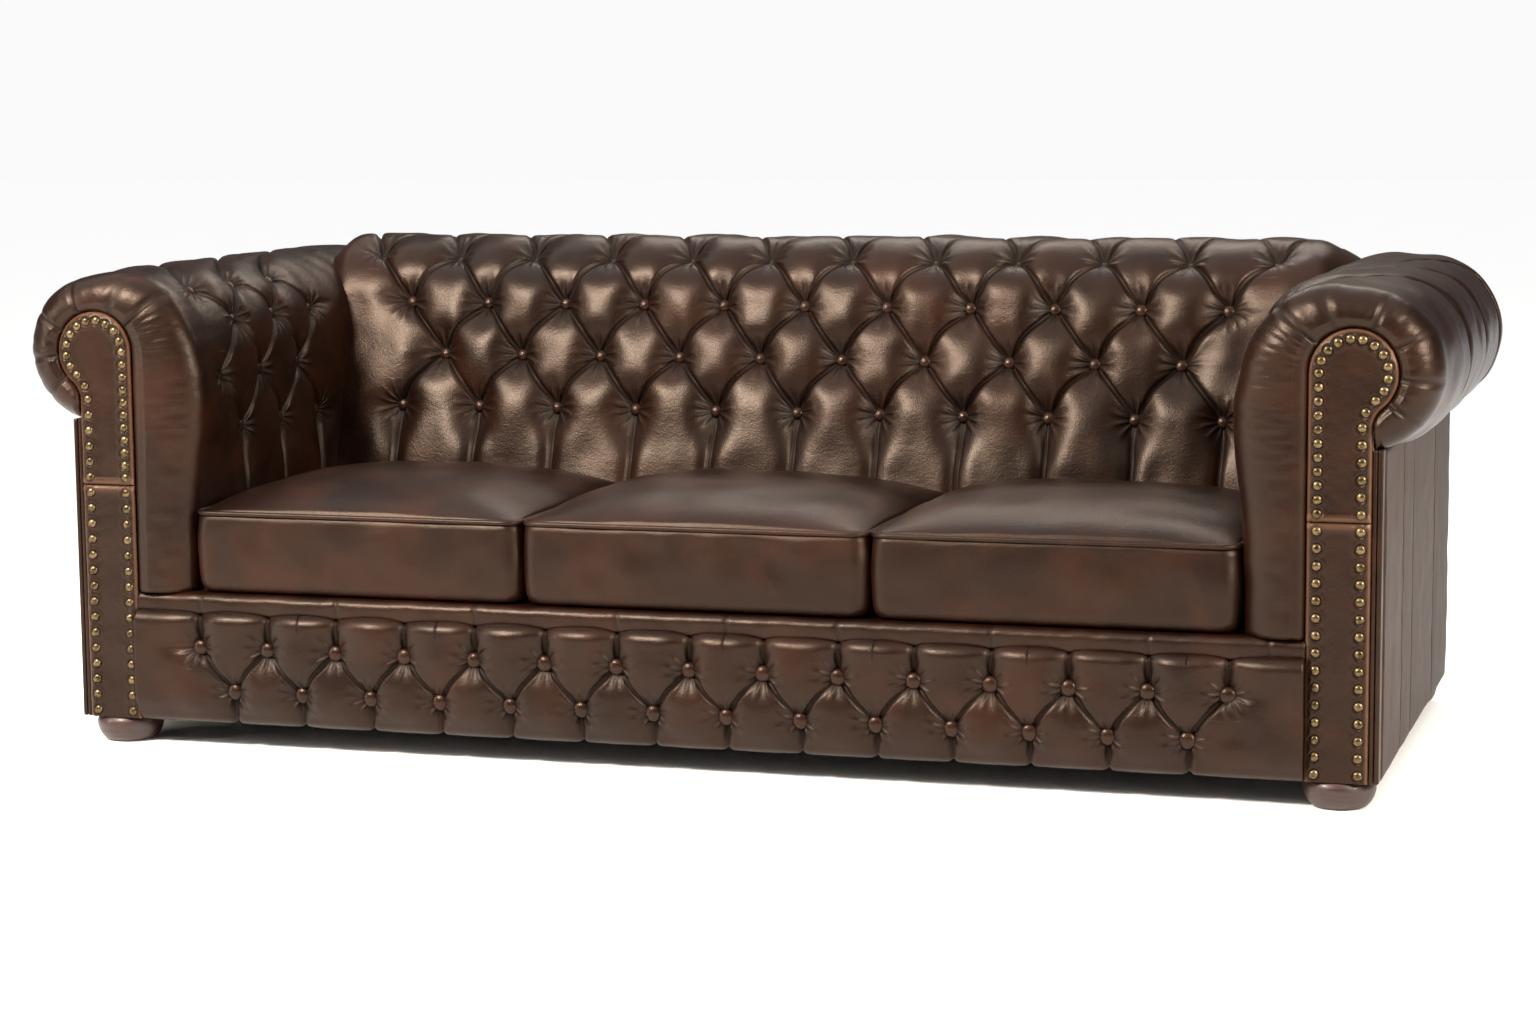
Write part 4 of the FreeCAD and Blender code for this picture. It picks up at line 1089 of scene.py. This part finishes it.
def cushion_skin(name, seed):
    """A cushion: rings up its sides, then rings that close over its crown, and the cord."""
    low, high = corners(f"cushion_cover_{name}")
    middle_x = (low[0] + high[0]) / 2
    half = (high[0] - low[0]) / 2 - CUSHION_GAP
    front, rear = low[1] - FRONT_Y + CUSHION_GAP, CUSHION_REAR
    side_z = low[2] + CUSHION_SIDE
    rim = cushion_rim(half, front, rear)
    centre = np.array([0, (front + rear) / 2])
    profile = [(0.93, low[2] + 1), (0.972, low[2] + 2.5), (0.99, low[2] + 7), (1.0, low[2] + 16)]
    profile += [(1.0 + 0.010 * math.sin(share * math.pi), low[2] + 16 + (side_z - low[2] - 21) * share)
                for share in np.linspace(0.08, 1, 14)]
    profile += [(0.989, side_z - 2)]
    rings = []
    for scale, z in profile:
        spot = centre + (rim - centre) * scale
        rings.append(np.column_stack([spot, np.full(len(rim), z)]))
    for share in np.concatenate([[0.985, 0.975], np.linspace(0.96, 0.02, 46)]):
        spot = centre + (rim - centre) * share
        u = np.clip(np.abs(spot[:, 0]) / half, 0, 1)
        w = np.clip(np.abs(spot[:, 1] - centre[1]) / (rear - centre[1]), 0, 1)
        z = side_z + CUSHION_CROWN * ((1 - u ** 2.8) * (1 - w ** 2.8)) ** 0.58
        rings.append(np.column_stack([spot, z]))
    grid = np.array(rings)
    swell = smooth(low[2] + 60, side_z, grid[..., 2])
    grid[..., 2] += 1.3 * waves(grid[..., 0], grid[..., 1], 170, seed) * swell
    sag = smooth(low[2] + 10, low[2] + 60, grid[..., 2]) * (1 - smooth(side_z - 30, side_z, grid[..., 2]))
    grid[..., 1] += 1.4 * waves(grid[..., 0], grid[..., 2], 110, seed + 9) * sag
    seam = centre + (rim - centre) * WELT_INSET
    piping = [(x + middle_x, FRONT_Y + y, side_z + 1) for x, y in seam]
    grid[..., 0] += middle_x
    grid[..., 1] += FRONT_Y
    body = skin(f"cushion_hide_{name}", grid)
    return join([body, welt(piping)], f"cushion_{name}")


def welt(line):
    """A covered cord along a closed line, bevelled from a curve."""
    deselect()
    curve = bpy.data.curves.new("welt", "CURVE")
    curve.dimensions = "3D"
    spline = curve.splines.new("POLY")
    spline.points.add(len(line) - 1)
    for point, place in zip(spline.points, line):
        point.co = (*(float(part) * MM for part in place), 1)
    spline.use_cyclic_u = True
    curve.bevel_depth = WELT_RADIUS * MM
    curve.bevel_resolution = 3
    cord = bpy.data.objects.new("welt", curve)
    bpy.context.collection.objects.link(cord)
    cord.select_set(True)
    bpy.context.view_layer.objects.active = cord
    bpy.ops.object.convert(target="MESH")
    return bpy.context.object


for seed, name in enumerate(CUSHIONS):
    cushion = cushion_skin(name, 60 + seed)
    dress(
        cushion, SEAT_HIDE, "cushion_leather", f"cushion_{name}", f"cushion_cover_{name}",
        f"cushion_core_{name}", fill=0.7)


# %% [markdown]
# ## Buttons and nails
# A button is a small domed disc covered in hide, and a nail is a thin dome of brass. Either could be a
# squashed sphere, but would lack the short upright rim that catches the light. So it is turned from a
# circle: each ring is extruded from the last and drawn in. One is modelled and then copied to every place.
# On the shoulder of the back and on the arms, where the hide swallows them, the buttons sit deeper.

# %% Turned pieces
def turned(name, profile, sides):
    """Extrude a circle up through rings, given as (radius, height) in millimetres."""
    deselect()
    radius, height = profile[0]
    bpy.ops.mesh.primitive_circle_add(
        vertices=sides, radius=radius * MM, fill_type="NGON", location=(0, 0, height * MM))
    thing = bpy.context.object
    thing.name = name
    bpy.ops.object.transform_apply(location=True)
    bpy.ops.object.mode_set(mode="EDIT")
    bpy.ops.mesh.select_mode(type="FACE")
    bpy.ops.mesh.select_all(action="SELECT")
    for (radius, height), (next_radius, next_height) in zip(profile, profile[1:]):
        bpy.ops.mesh.extrude_region_move(
            TRANSFORM_OT_translate={"value": (0, 0, (next_height - height) * MM)})
        share = next_radius / radius
        bpy.ops.transform.resize(value=(share, share, 1), center_override=(0, 0, next_height * MM))
    bpy.ops.mesh.select_all(action="SELECT")
    bpy.ops.mesh.normals_make_consistent(inside=False)
    bpy.ops.object.mode_set(mode="OBJECT")
    bpy.ops.object.shade_smooth_by_angle(angle=math.radians(50))
    return thing


def dome(radius, height, rim, rings):
    """Rings of a round dome with a short upright rim."""
    profile = [(radius * 0.82, 0), (radius, rim * 0.5), (radius, rim)]
    for index in range(1, rings + 1):
        turned_angle = math.radians(84 * index / rings)
        profile.append((radius * math.cos(turned_angle), rim + (height - rim) * math.sin(turned_angle)))
    return profile


def scatter(name, model, places):
    """Copies of a model at places, given as (point, outward way), joined to one piece."""
    copies = []
    for spot, way in places:
        twin = model.copy()
        twin.data = model.data.copy()
        turning = Vector(way).to_track_quat("Z", "Y").to_matrix().to_4x4()
        twin.data.transform(Matrix.Translation(Vector(spot) * MM) @ turning)
        bpy.context.collection.objects.link(twin)
        copies.append(twin)
    return join(copies, name)


# %% Buttons
BUTTON_RADIUS = 11.0
RAIL_BUTTON_RADIUS = 13.0
button = turned("button", dome(BUTTON_RADIUS, 11, 5, 5), 16)
rail_button = turned("rail_button", dome(RAIL_BUTTON_RADIUS, 11, 4, 5), 18)
SUNK_BUTTON = 9.0
RESTING_BUTTON = 1.5


def centred(count, pitch):
    """Places of a row that is even about the middle."""
    return [(index - (count - 1) / 2) * pitch for index in range(count)]


places = []
for row, count in enumerate((11, 10, 11, 12)):
    point, normal = back_line.at(rows[row])
    point = point - normal * (SUNK_BUTTON if row == 3 else RESTING_BUTTON)
    for x in centred(count, BUTTON_PITCH):
        places.append(((x, FRONT_Y + point[0], point[1]), (0, normal[0], normal[1])))
dress(scatter("back_buttons", button, places), BUTTON_HIDE, "button_leather", BODY, "buttons_back")

for side, hand in SIDES:
    places = []
    for row, travelled in enumerate(arm_rows):
        point, normal = arm_line.at(travelled)
        point = point - normal * SUNK_BUTTON * 0.6
        for index in range(3):
            depth = FIRST_ARM_BUTTON + (index + (0.5 if row % 2 == 0 else 0)) * BUTTON_PITCH
            places.append(((hand * point[0], FRONT_Y + depth, point[1]), (hand * normal[0], 0, normal[1])))
    dress(
        scatter(f"arm_buttons_{side}", button, places), BUTTON_HIDE, "button_leather", BODY,
        f"buttons_arm_{side}")

places = []
for count, height in ((14, RAIL_ROWS[0]), (15, RAIL_ROWS[1])):
    for x in centred(count, RAIL_PITCH):
        places.append(((x, FRONT_Y + rail_face - 0.5, height), (0, -1, 0)))
dress(scatter("rail_buttons", rail_button, places), BUTTON_HIDE, "button_leather", BODY, "buttons_rail")
bpy.data.objects.remove(button)
bpy.data.objects.remove(rail_button)

# %% [markdown]
# ## Nailed facings
# The facing is a board covered in hide, in two panels that meet at a seam. It is built from a block for the
# leg, a drum for the head and a wedge that a cylinder cuts to the neck. A voxel remesh makes one even mesh
# of them, which is then shaped like leather: bevelled round the edge, dimpled at each nail and wrinkled.

# %% Nail line
SEAM_HEIGHT = upper_low[2]
facing_bottom = facing_low[2]
facing_face = facing_low[1]
FACING_DEPTH = facing_high[1] - facing_low[1]
NAIL_MARGIN = 14.0
NAIL_END = 12.0
NAIL_RADIUS = 7.6
NAIL_HEIGHT = 5.8
NAIL_RIM = 1.2


def nail_spots():
    """Nails up the inner edge, round the scroll and down the outer edge, as (x, z)."""
    inner, outer = facing_in + NAIL_MARGIN, facing_out - NAIL_MARGIN
    spots = []
    for height in np.linspace(facing_bottom + NAIL_END, SEAM_HEIGHT - NAIL_END, 15):
        spots += [(inner, height), (outer, height)]
    for height in np.linspace(SEAM_HEIGHT + NAIL_END, scroll_z, 11)[:-1]:
        spots.append((inner, height))
    reach = SCROLL_RADIUS - NAIL_MARGIN
    for angle in np.linspace(math.pi, -neck_turn, 12)[:-1]:
        spots.append((scroll_x + reach * math.cos(angle), scroll_z + reach * math.sin(angle)))
    reach = NECK_RADIUS + NAIL_MARGIN
    for angle in np.linspace(math.pi - neck_turn, math.pi, 3)[:-1]:
        spots.append((neck_x + reach * math.cos(angle), neck_z + reach * math.sin(angle)))
    for height in np.linspace(neck_z, SEAM_HEIGHT + NAIL_END, 6):
        spots.append((outer, height))
    return np.array(spots)


print("nails on each facing:", len(nail_spots()))


# %% Solids and their points
def block(name, low, high):
    """A plain block between two corners, to be shaped further."""
    deselect()
    low, high = np.array(low, float), np.array(high, float)
    bpy.ops.mesh.primitive_cube_add(size=1, location=tuple((low + high) / 2 * MM))
    thing = bpy.context.object
    thing.name = name
    bpy.ops.transform.resize(value=tuple((high - low) * MM))
    bpy.ops.object.transform_apply(location=True, rotation=True, scale=True)
    return thing


def drum(name, x, z, radius, low_y, high_y):
    """A cylinder that lies along the sofa's depth."""
    deselect()
    bpy.ops.mesh.primitive_cylinder_add(
        vertices=96, radius=radius * MM, depth=(high_y - low_y) * MM,
        location=(x * MM, (low_y + high_y) / 2 * MM, z * MM), rotation=(math.pi / 2, 0, 0))
    thing = bpy.context.object
    thing.name = name
    bpy.ops.object.transform_apply(location=True, rotation=True, scale=True)
    return thing


def apply(thing, kind, **settings):
    """Add a modifier and apply it."""
    bpy.context.view_layer.objects.active = thing
    modifier = thing.modifiers.new("work", kind)
    for name, setting in settings.items():
        setattr(modifier, name, setting)
    bpy.ops.object.modifier_apply(modifier=modifier.name)


def points_of(thing):
    """The points of a mesh, in millimetres."""
    table = np.empty(len(thing.data.vertices) * 3)
    thing.data.vertices.foreach_get("co", table)
    return table.reshape(-1, 3) / MM


def move_points(thing, table):
    """Put the points of a mesh where a table says."""
    thing.data.vertices.foreach_set("co", (table * MM).reshape(-1))
    thing.data.update()


# %% Facing panels
VOXEL = 2.0
RIM_WIDTH = 7.0
RIM_RISE = 3.4
DIMPLE_DEPTH = 2.6
DIMPLE_WIDTH = 6.2


def edge_distance(x, z, low):
    """Distance from the facing's outline, measured inside it."""
    turned_angles = np.linspace(-neck_turn, math.pi, 120)
    head = np.stack([scroll_x + SCROLL_RADIUS * np.cos(turned_angles),
                     scroll_z + SCROLL_RADIUS * np.sin(turned_angles)], 1)
    neck_angles = np.linspace(math.pi - neck_turn, math.pi, 40)
    neck = np.stack([neck_x + NECK_RADIUS * np.cos(neck_angles),
                     neck_z + NECK_RADIUS * np.sin(neck_angles)], 1)
    heights = np.arange(low, scroll_z, 2.0)
    inner = np.stack([np.full(len(heights), facing_in), heights], 1)
    heights = np.arange(low, neck_z, 2.0)
    outer = np.stack([np.full(len(heights), facing_out), heights], 1)
    line = np.vstack([head, neck, inner, outer])
    spots = np.stack([x, z], 1)
    nearest = np.full(len(spots), np.inf)
    for part in np.array_split(line, 8):
        gaps = np.linalg.norm(spots[:, None] - part[None], axis=2).min(1)
        nearest = np.minimum(nearest, gaps)
    return nearest


def facing_panel(name, upper, hand, seed):
    """One panel of a facing, with its rim, dimples, seam fold and wrinkles."""
    back = facing_face + FACING_DEPTH
    if upper:
        leg = block("leg", (facing_in, facing_face, SEAM_HEIGHT), (facing_out, back, scroll_z))
        head = drum("head", scroll_x, scroll_z, SCROLL_RADIUS, facing_face, back)
        share = SCROLL_RADIUS / (SCROLL_RADIUS + NECK_RADIUS)
        tangent = (scroll_x + (neck_x - scroll_x) * share, scroll_z + (neck_z - scroll_z) * share)
        wedge = block("wedge", (facing_out - 10, facing_face, neck_z), (tangent[0], back, tangent[1]))
        cutter = drum("cutter", neck_x, neck_z, NECK_RADIUS, facing_face - 5, back + 5)
        apply(wedge, "BOOLEAN", operation="DIFFERENCE", object=cutter, solver="EXACT")
        bpy.data.objects.remove(cutter)
        panel = join([leg, head, wedge], name)
    else:
        panel = block(name, (facing_in, facing_face, facing_bottom), (facing_out, back, SEAM_HEIGHT))
    apply(panel, "REMESH", mode="VOXEL", voxel_size=VOXEL * MM)
    table = points_of(panel)
    x, y, z = table.T
    near = edge_distance(x, z, facing_bottom)
    front = 1 - smooth(facing_face + 1, facing_face + 5, y)
    rim = np.clip(1 - near / RIM_WIDTH, 0, 1)
    push = RIM_RISE * rim ** 2 - 1.6 * np.exp(-((near - 9.5) / 3.0) ** 2)
    fold = np.abs(z - SEAM_HEIGHT)
    push += 1.0 * np.exp(-(fold / 2.5) ** 2) - 2.0 * np.exp(-((fold - 7) / 4.5) ** 2)
    # Each nail's dimple is marked as a crease, which the finish darkens as painted shade.
    crease = np.zeros(len(x))
    for spot in nail_spots():
        gap = np.hypot(x - spot[0], z - spot[1])
        push += DIMPLE_DEPTH * np.exp(-(gap / DIMPLE_WIDTH) ** 2) - 0.9 * np.exp(-((gap - 10) / 2.6) ** 2)
        crease = np.maximum(crease, np.exp(-(gap / 8.6) ** 4))
    push += 0.4 * waves(x, z, 90, seed) + 0.1 * waves(x, z, 30, seed + 1)
    table[:, 1] += push * front
    table[:, 0] *= hand
    move_points(panel, table)
    # Rims along the edge and beside the seam fold are marked for a painted highlight.
    rub = np.exp(-((near - 2.0) / 1.8) ** 2) + 0.6 * np.exp(-((fold - 5) / 4.0) ** 2)
    carry(panel.data, "crease", crease * 0.9)
    carry(panel.data, "rub", rub * front)
    deselect()
    bpy.context.view_layer.objects.active = panel
    bpy.ops.object.mode_set(mode="EDIT")
    bpy.ops.mesh.select_all(action="SELECT")
    bpy.ops.mesh.normals_make_consistent(inside=False)
    bpy.ops.object.mode_set(mode="OBJECT")
    panel.data.polygons.foreach_set("use_smooth", [True] * len(panel.data.polygons))
    return panel


nail = turned("nail", dome(NAIL_RADIUS, NAIL_HEIGHT, NAIL_RIM, 3), 10)
for seed, (side, hand) in enumerate(SIDES):
    for upper in (True, False):
        level = "upper" if upper else "lower"
        panel = facing_panel(f"facing_hide_{level}_{side}", upper, hand, 80 + 4 * seed + upper)
        dress(panel, HIDE, "hide_leather", BODY, f"facing_{level}_{side}", fill=0.9)
    places = [((hand * x, facing_face + 1.6, z), (0, -1, 0)) for x, z in nail_spots()]
    nails = scatter(f"nails_{side}", nail, places)
    dress(nails, FRAME_FINISHES["nail_brass"], "nail_brass", BODY, f"facing_nails_{side}")
bpy.data.objects.remove(nail)

# %% [markdown]
# ## Edge strips and outside panels
# Beside each facing runs a narrow strip in two folds, and behind it the plain outside of the arm, sewn from
# widths of hide. The back is covered the same way. They are hide over thin padding, so they swell a little
# between their seams. A bevelled block is enough for a fold. A panel is a skin whose sections stand closer
# together beside its seams, so each seam is sharp without a dense mesh everywhere.

# %% Strips
for side, hand in SIDES:
    low, high = corners("edge_strip_right")
    middle = (low[0] + high[0]) / 2
    folds = []
    for start, end in ((low[0] + 0.4, middle - 0.3), (middle + 0.3, high[0])):
        fold = block("fold", (start, low[1], low[2]), (end, high[1], high[2]))
        apply(fold, "BEVEL", width=2.6 * MM, segments=4, limit_method="ANGLE")
        folds.append(fold)
    strip = join(folds, f"edge_fold_{side}")
    if hand < 0:
        table = points_of(strip)
        table[:, 0] *= hand
        move_points(strip, table)
        strip.data.flip_normals()
    deselect()
    strip.select_set(True)
    bpy.ops.object.shade_smooth_by_angle(angle=math.radians(40))
    dress(strip, HIDE, "hide_leather", BODY, f"edge_strip_{side}")


# %% Outside panels
PANEL_SHARES = np.concatenate([[0, 0.01], np.linspace(0.02, 0.98, 70), [0.995, 1.0]])
BESIDE_SEAM = np.array([-9, -6, -4, -2.5, -1.2, 0, 1.2, 2.5, 4, 6, 9])


def panel_skin(name, along, thickness, low_z, top_z, seams, seed, place):
    """A sewn panel: rows along its length, each row round its section."""
    def profile(top):
        line = Outline((thickness, low_z))
        line.run((3, low_z)).arc((3, low_z + 3), 90)
        line.run((0, top - 3)).arc((3, top - 3), 90)
        return line.run((thickness, top))

    rows_of = []
    creases = []
    for here in along:
        line = profile(top_z(here))
        spot, normal = line.at(PANEL_SHARES * line.length)
        gap = min(abs(here - seam) for seam in seams)
        face = np.sin(np.linspace(0, 1, len(spot)).clip(0, 1) * math.pi) ** 0.4
        groove = math.exp(-(gap / SEAM_WIDTH) ** 2)
        puff = (1.8 * min(gap / 60, 1) ** 0.5 - 2.2 * groove) * face
        puff = puff + 0.5 * waves(np.full(len(spot), here), spot[:, 1], 90, seed) * face
        spot = spot + normal * puff[:, None]
        rows_of.append(place(here, spot))
        # The seam grooves are marked for the finish to darken as painted shade.
        creases.append(groove * face)
    return skin(name, np.array(rows_of), attributes={"crease": np.array(creases)})


def near_seams(start, end, seams, coarse=14.0):
    """Places along a panel, closer together beside its seams."""
    places = set(np.linspace(start, end, int((end - start) / coarse)).round(2))
    for seam in seams:
        places |= set((seam + BESIDE_SEAM).round(2))
    return np.array(sorted(p for p in places if start - 0.01 <= p <= end + 0.01))


ARM_SEAMS = (260.0, 390.0, 690.0)
side_start, side_end = side_low[1] - FRONT_Y, side_high[1] - FRONT_Y
for seed, (side, hand) in enumerate(SIDES):
    panel = panel_skin(
        f"outside_hide_{side}", near_seams(side_start + 0.5, side_end - 0.5, ARM_SEAMS),
        side_high[0] - side_low[0], side_low[2], lambda here: side_high[2] - 0.5, ARM_SEAMS, 90 + seed,
        lambda here, spot: np.stack([
            (side_high[0] - spot[:, 0]) * hand, np.full(len(spot), FRONT_Y + here), spot[:, 1]], -1))
    dress(panel, PANEL_HIDE_PAINTED_REFLECTION, "hide_leather", BODY, f"outside_arm_{side}", fill=0.8)

BACK_SEAMS = (-450.0, 0.0, 450.0)
back_corner = side_low[0]


def back_top(here):
    """The panel's upper edge, which rises at its ends to close the corner with the arms."""
    knots = (corners("back_pad")[1][0], back_corner - 40, back_corner)
    return float(np.interp(abs(here), knots, (roll_foot, arm_foot_z + 45, arm_foot_z + 22)))


panel = panel_skin(
    "outside_hide_back", near_seams(-back_corner + 0.5, back_corner - 0.5, BACK_SEAMS), 10.0,
    panel_low[2], back_top, BACK_SEAMS, 95,
    lambda here, spot: np.stack([
        np.full(len(spot), here), FRONT_Y + panel_depth - spot[:, 0], spot[:, 1]], -1))
dress(panel, PANEL_HIDE_PAINTED_REFLECTION, "hide_leather", BODY, "outside_back", fill=0.8)

# %% [markdown]
# ## Bun feet
# A bun foot is a ball of hardwood, turned on a lathe, with a flat sole and a shoulder under the frame. A
# squashed sphere would come close, but would lose the shoulder. So half of its outline is drawn as edges
# and spun round its axis, as on the lathe, and its sharp edges are then broken by a small bevel.

# %% Feet
FOOT_OUTLINE = (
    (0, 0), (34, 0), (40, 3), (45.5, 9), (49.5, 17), (51.6, 25), (51.8, 31), (50, 37), (47, 41), (0, 41))


def turned_foot(name, x, y):
    """Spin the outline round and set the foot in its place."""
    deselect()
    bpy.ops.mesh.primitive_plane_add(size=1)
    foot = bpy.context.object
    foot.name = name
    foot.data.clear_geometry()
    radii = [(radius * MM, 0, height * MM) for radius, height in FOOT_OUTLINE]
    foot.data.from_pydata(radii, [(i, i + 1) for i in range(len(radii) - 1)], [])
    bpy.ops.object.mode_set(mode="EDIT")
    bpy.ops.mesh.select_all(action="SELECT")
    bpy.ops.mesh.spin(steps=48, angle=math.tau, center=(0, 0, 0), axis=(0, 0, 1))
    bpy.ops.mesh.select_all(action="SELECT")
    bpy.ops.mesh.remove_doubles(threshold=0.00002)
    bpy.ops.mesh.normals_make_consistent(inside=False)
    bpy.ops.object.mode_set(mode="OBJECT")
    apply(foot, "BEVEL", width=1.2 * MM, segments=2, limit_method="ANGLE", angle_limit=math.radians(38))
    bpy.ops.object.shade_smooth_by_angle(angle=math.radians(35))
    foot.data.transform(Matrix.Translation((x * MM, y * MM, 0)))
    return foot


for end in ("front", "rear"):
    for side, hand in SIDES:
        low, high = corners(f"foot_{end}_{side}")
        middle = (low + high) / 2
        foot = turned_foot(f"bun_foot_{end}_{side}", middle[0], middle[1])
        dress(foot, FRAME_FINISHES["turned_wood"], "turned_wood", BODY, f"foot_{end}_{side}")
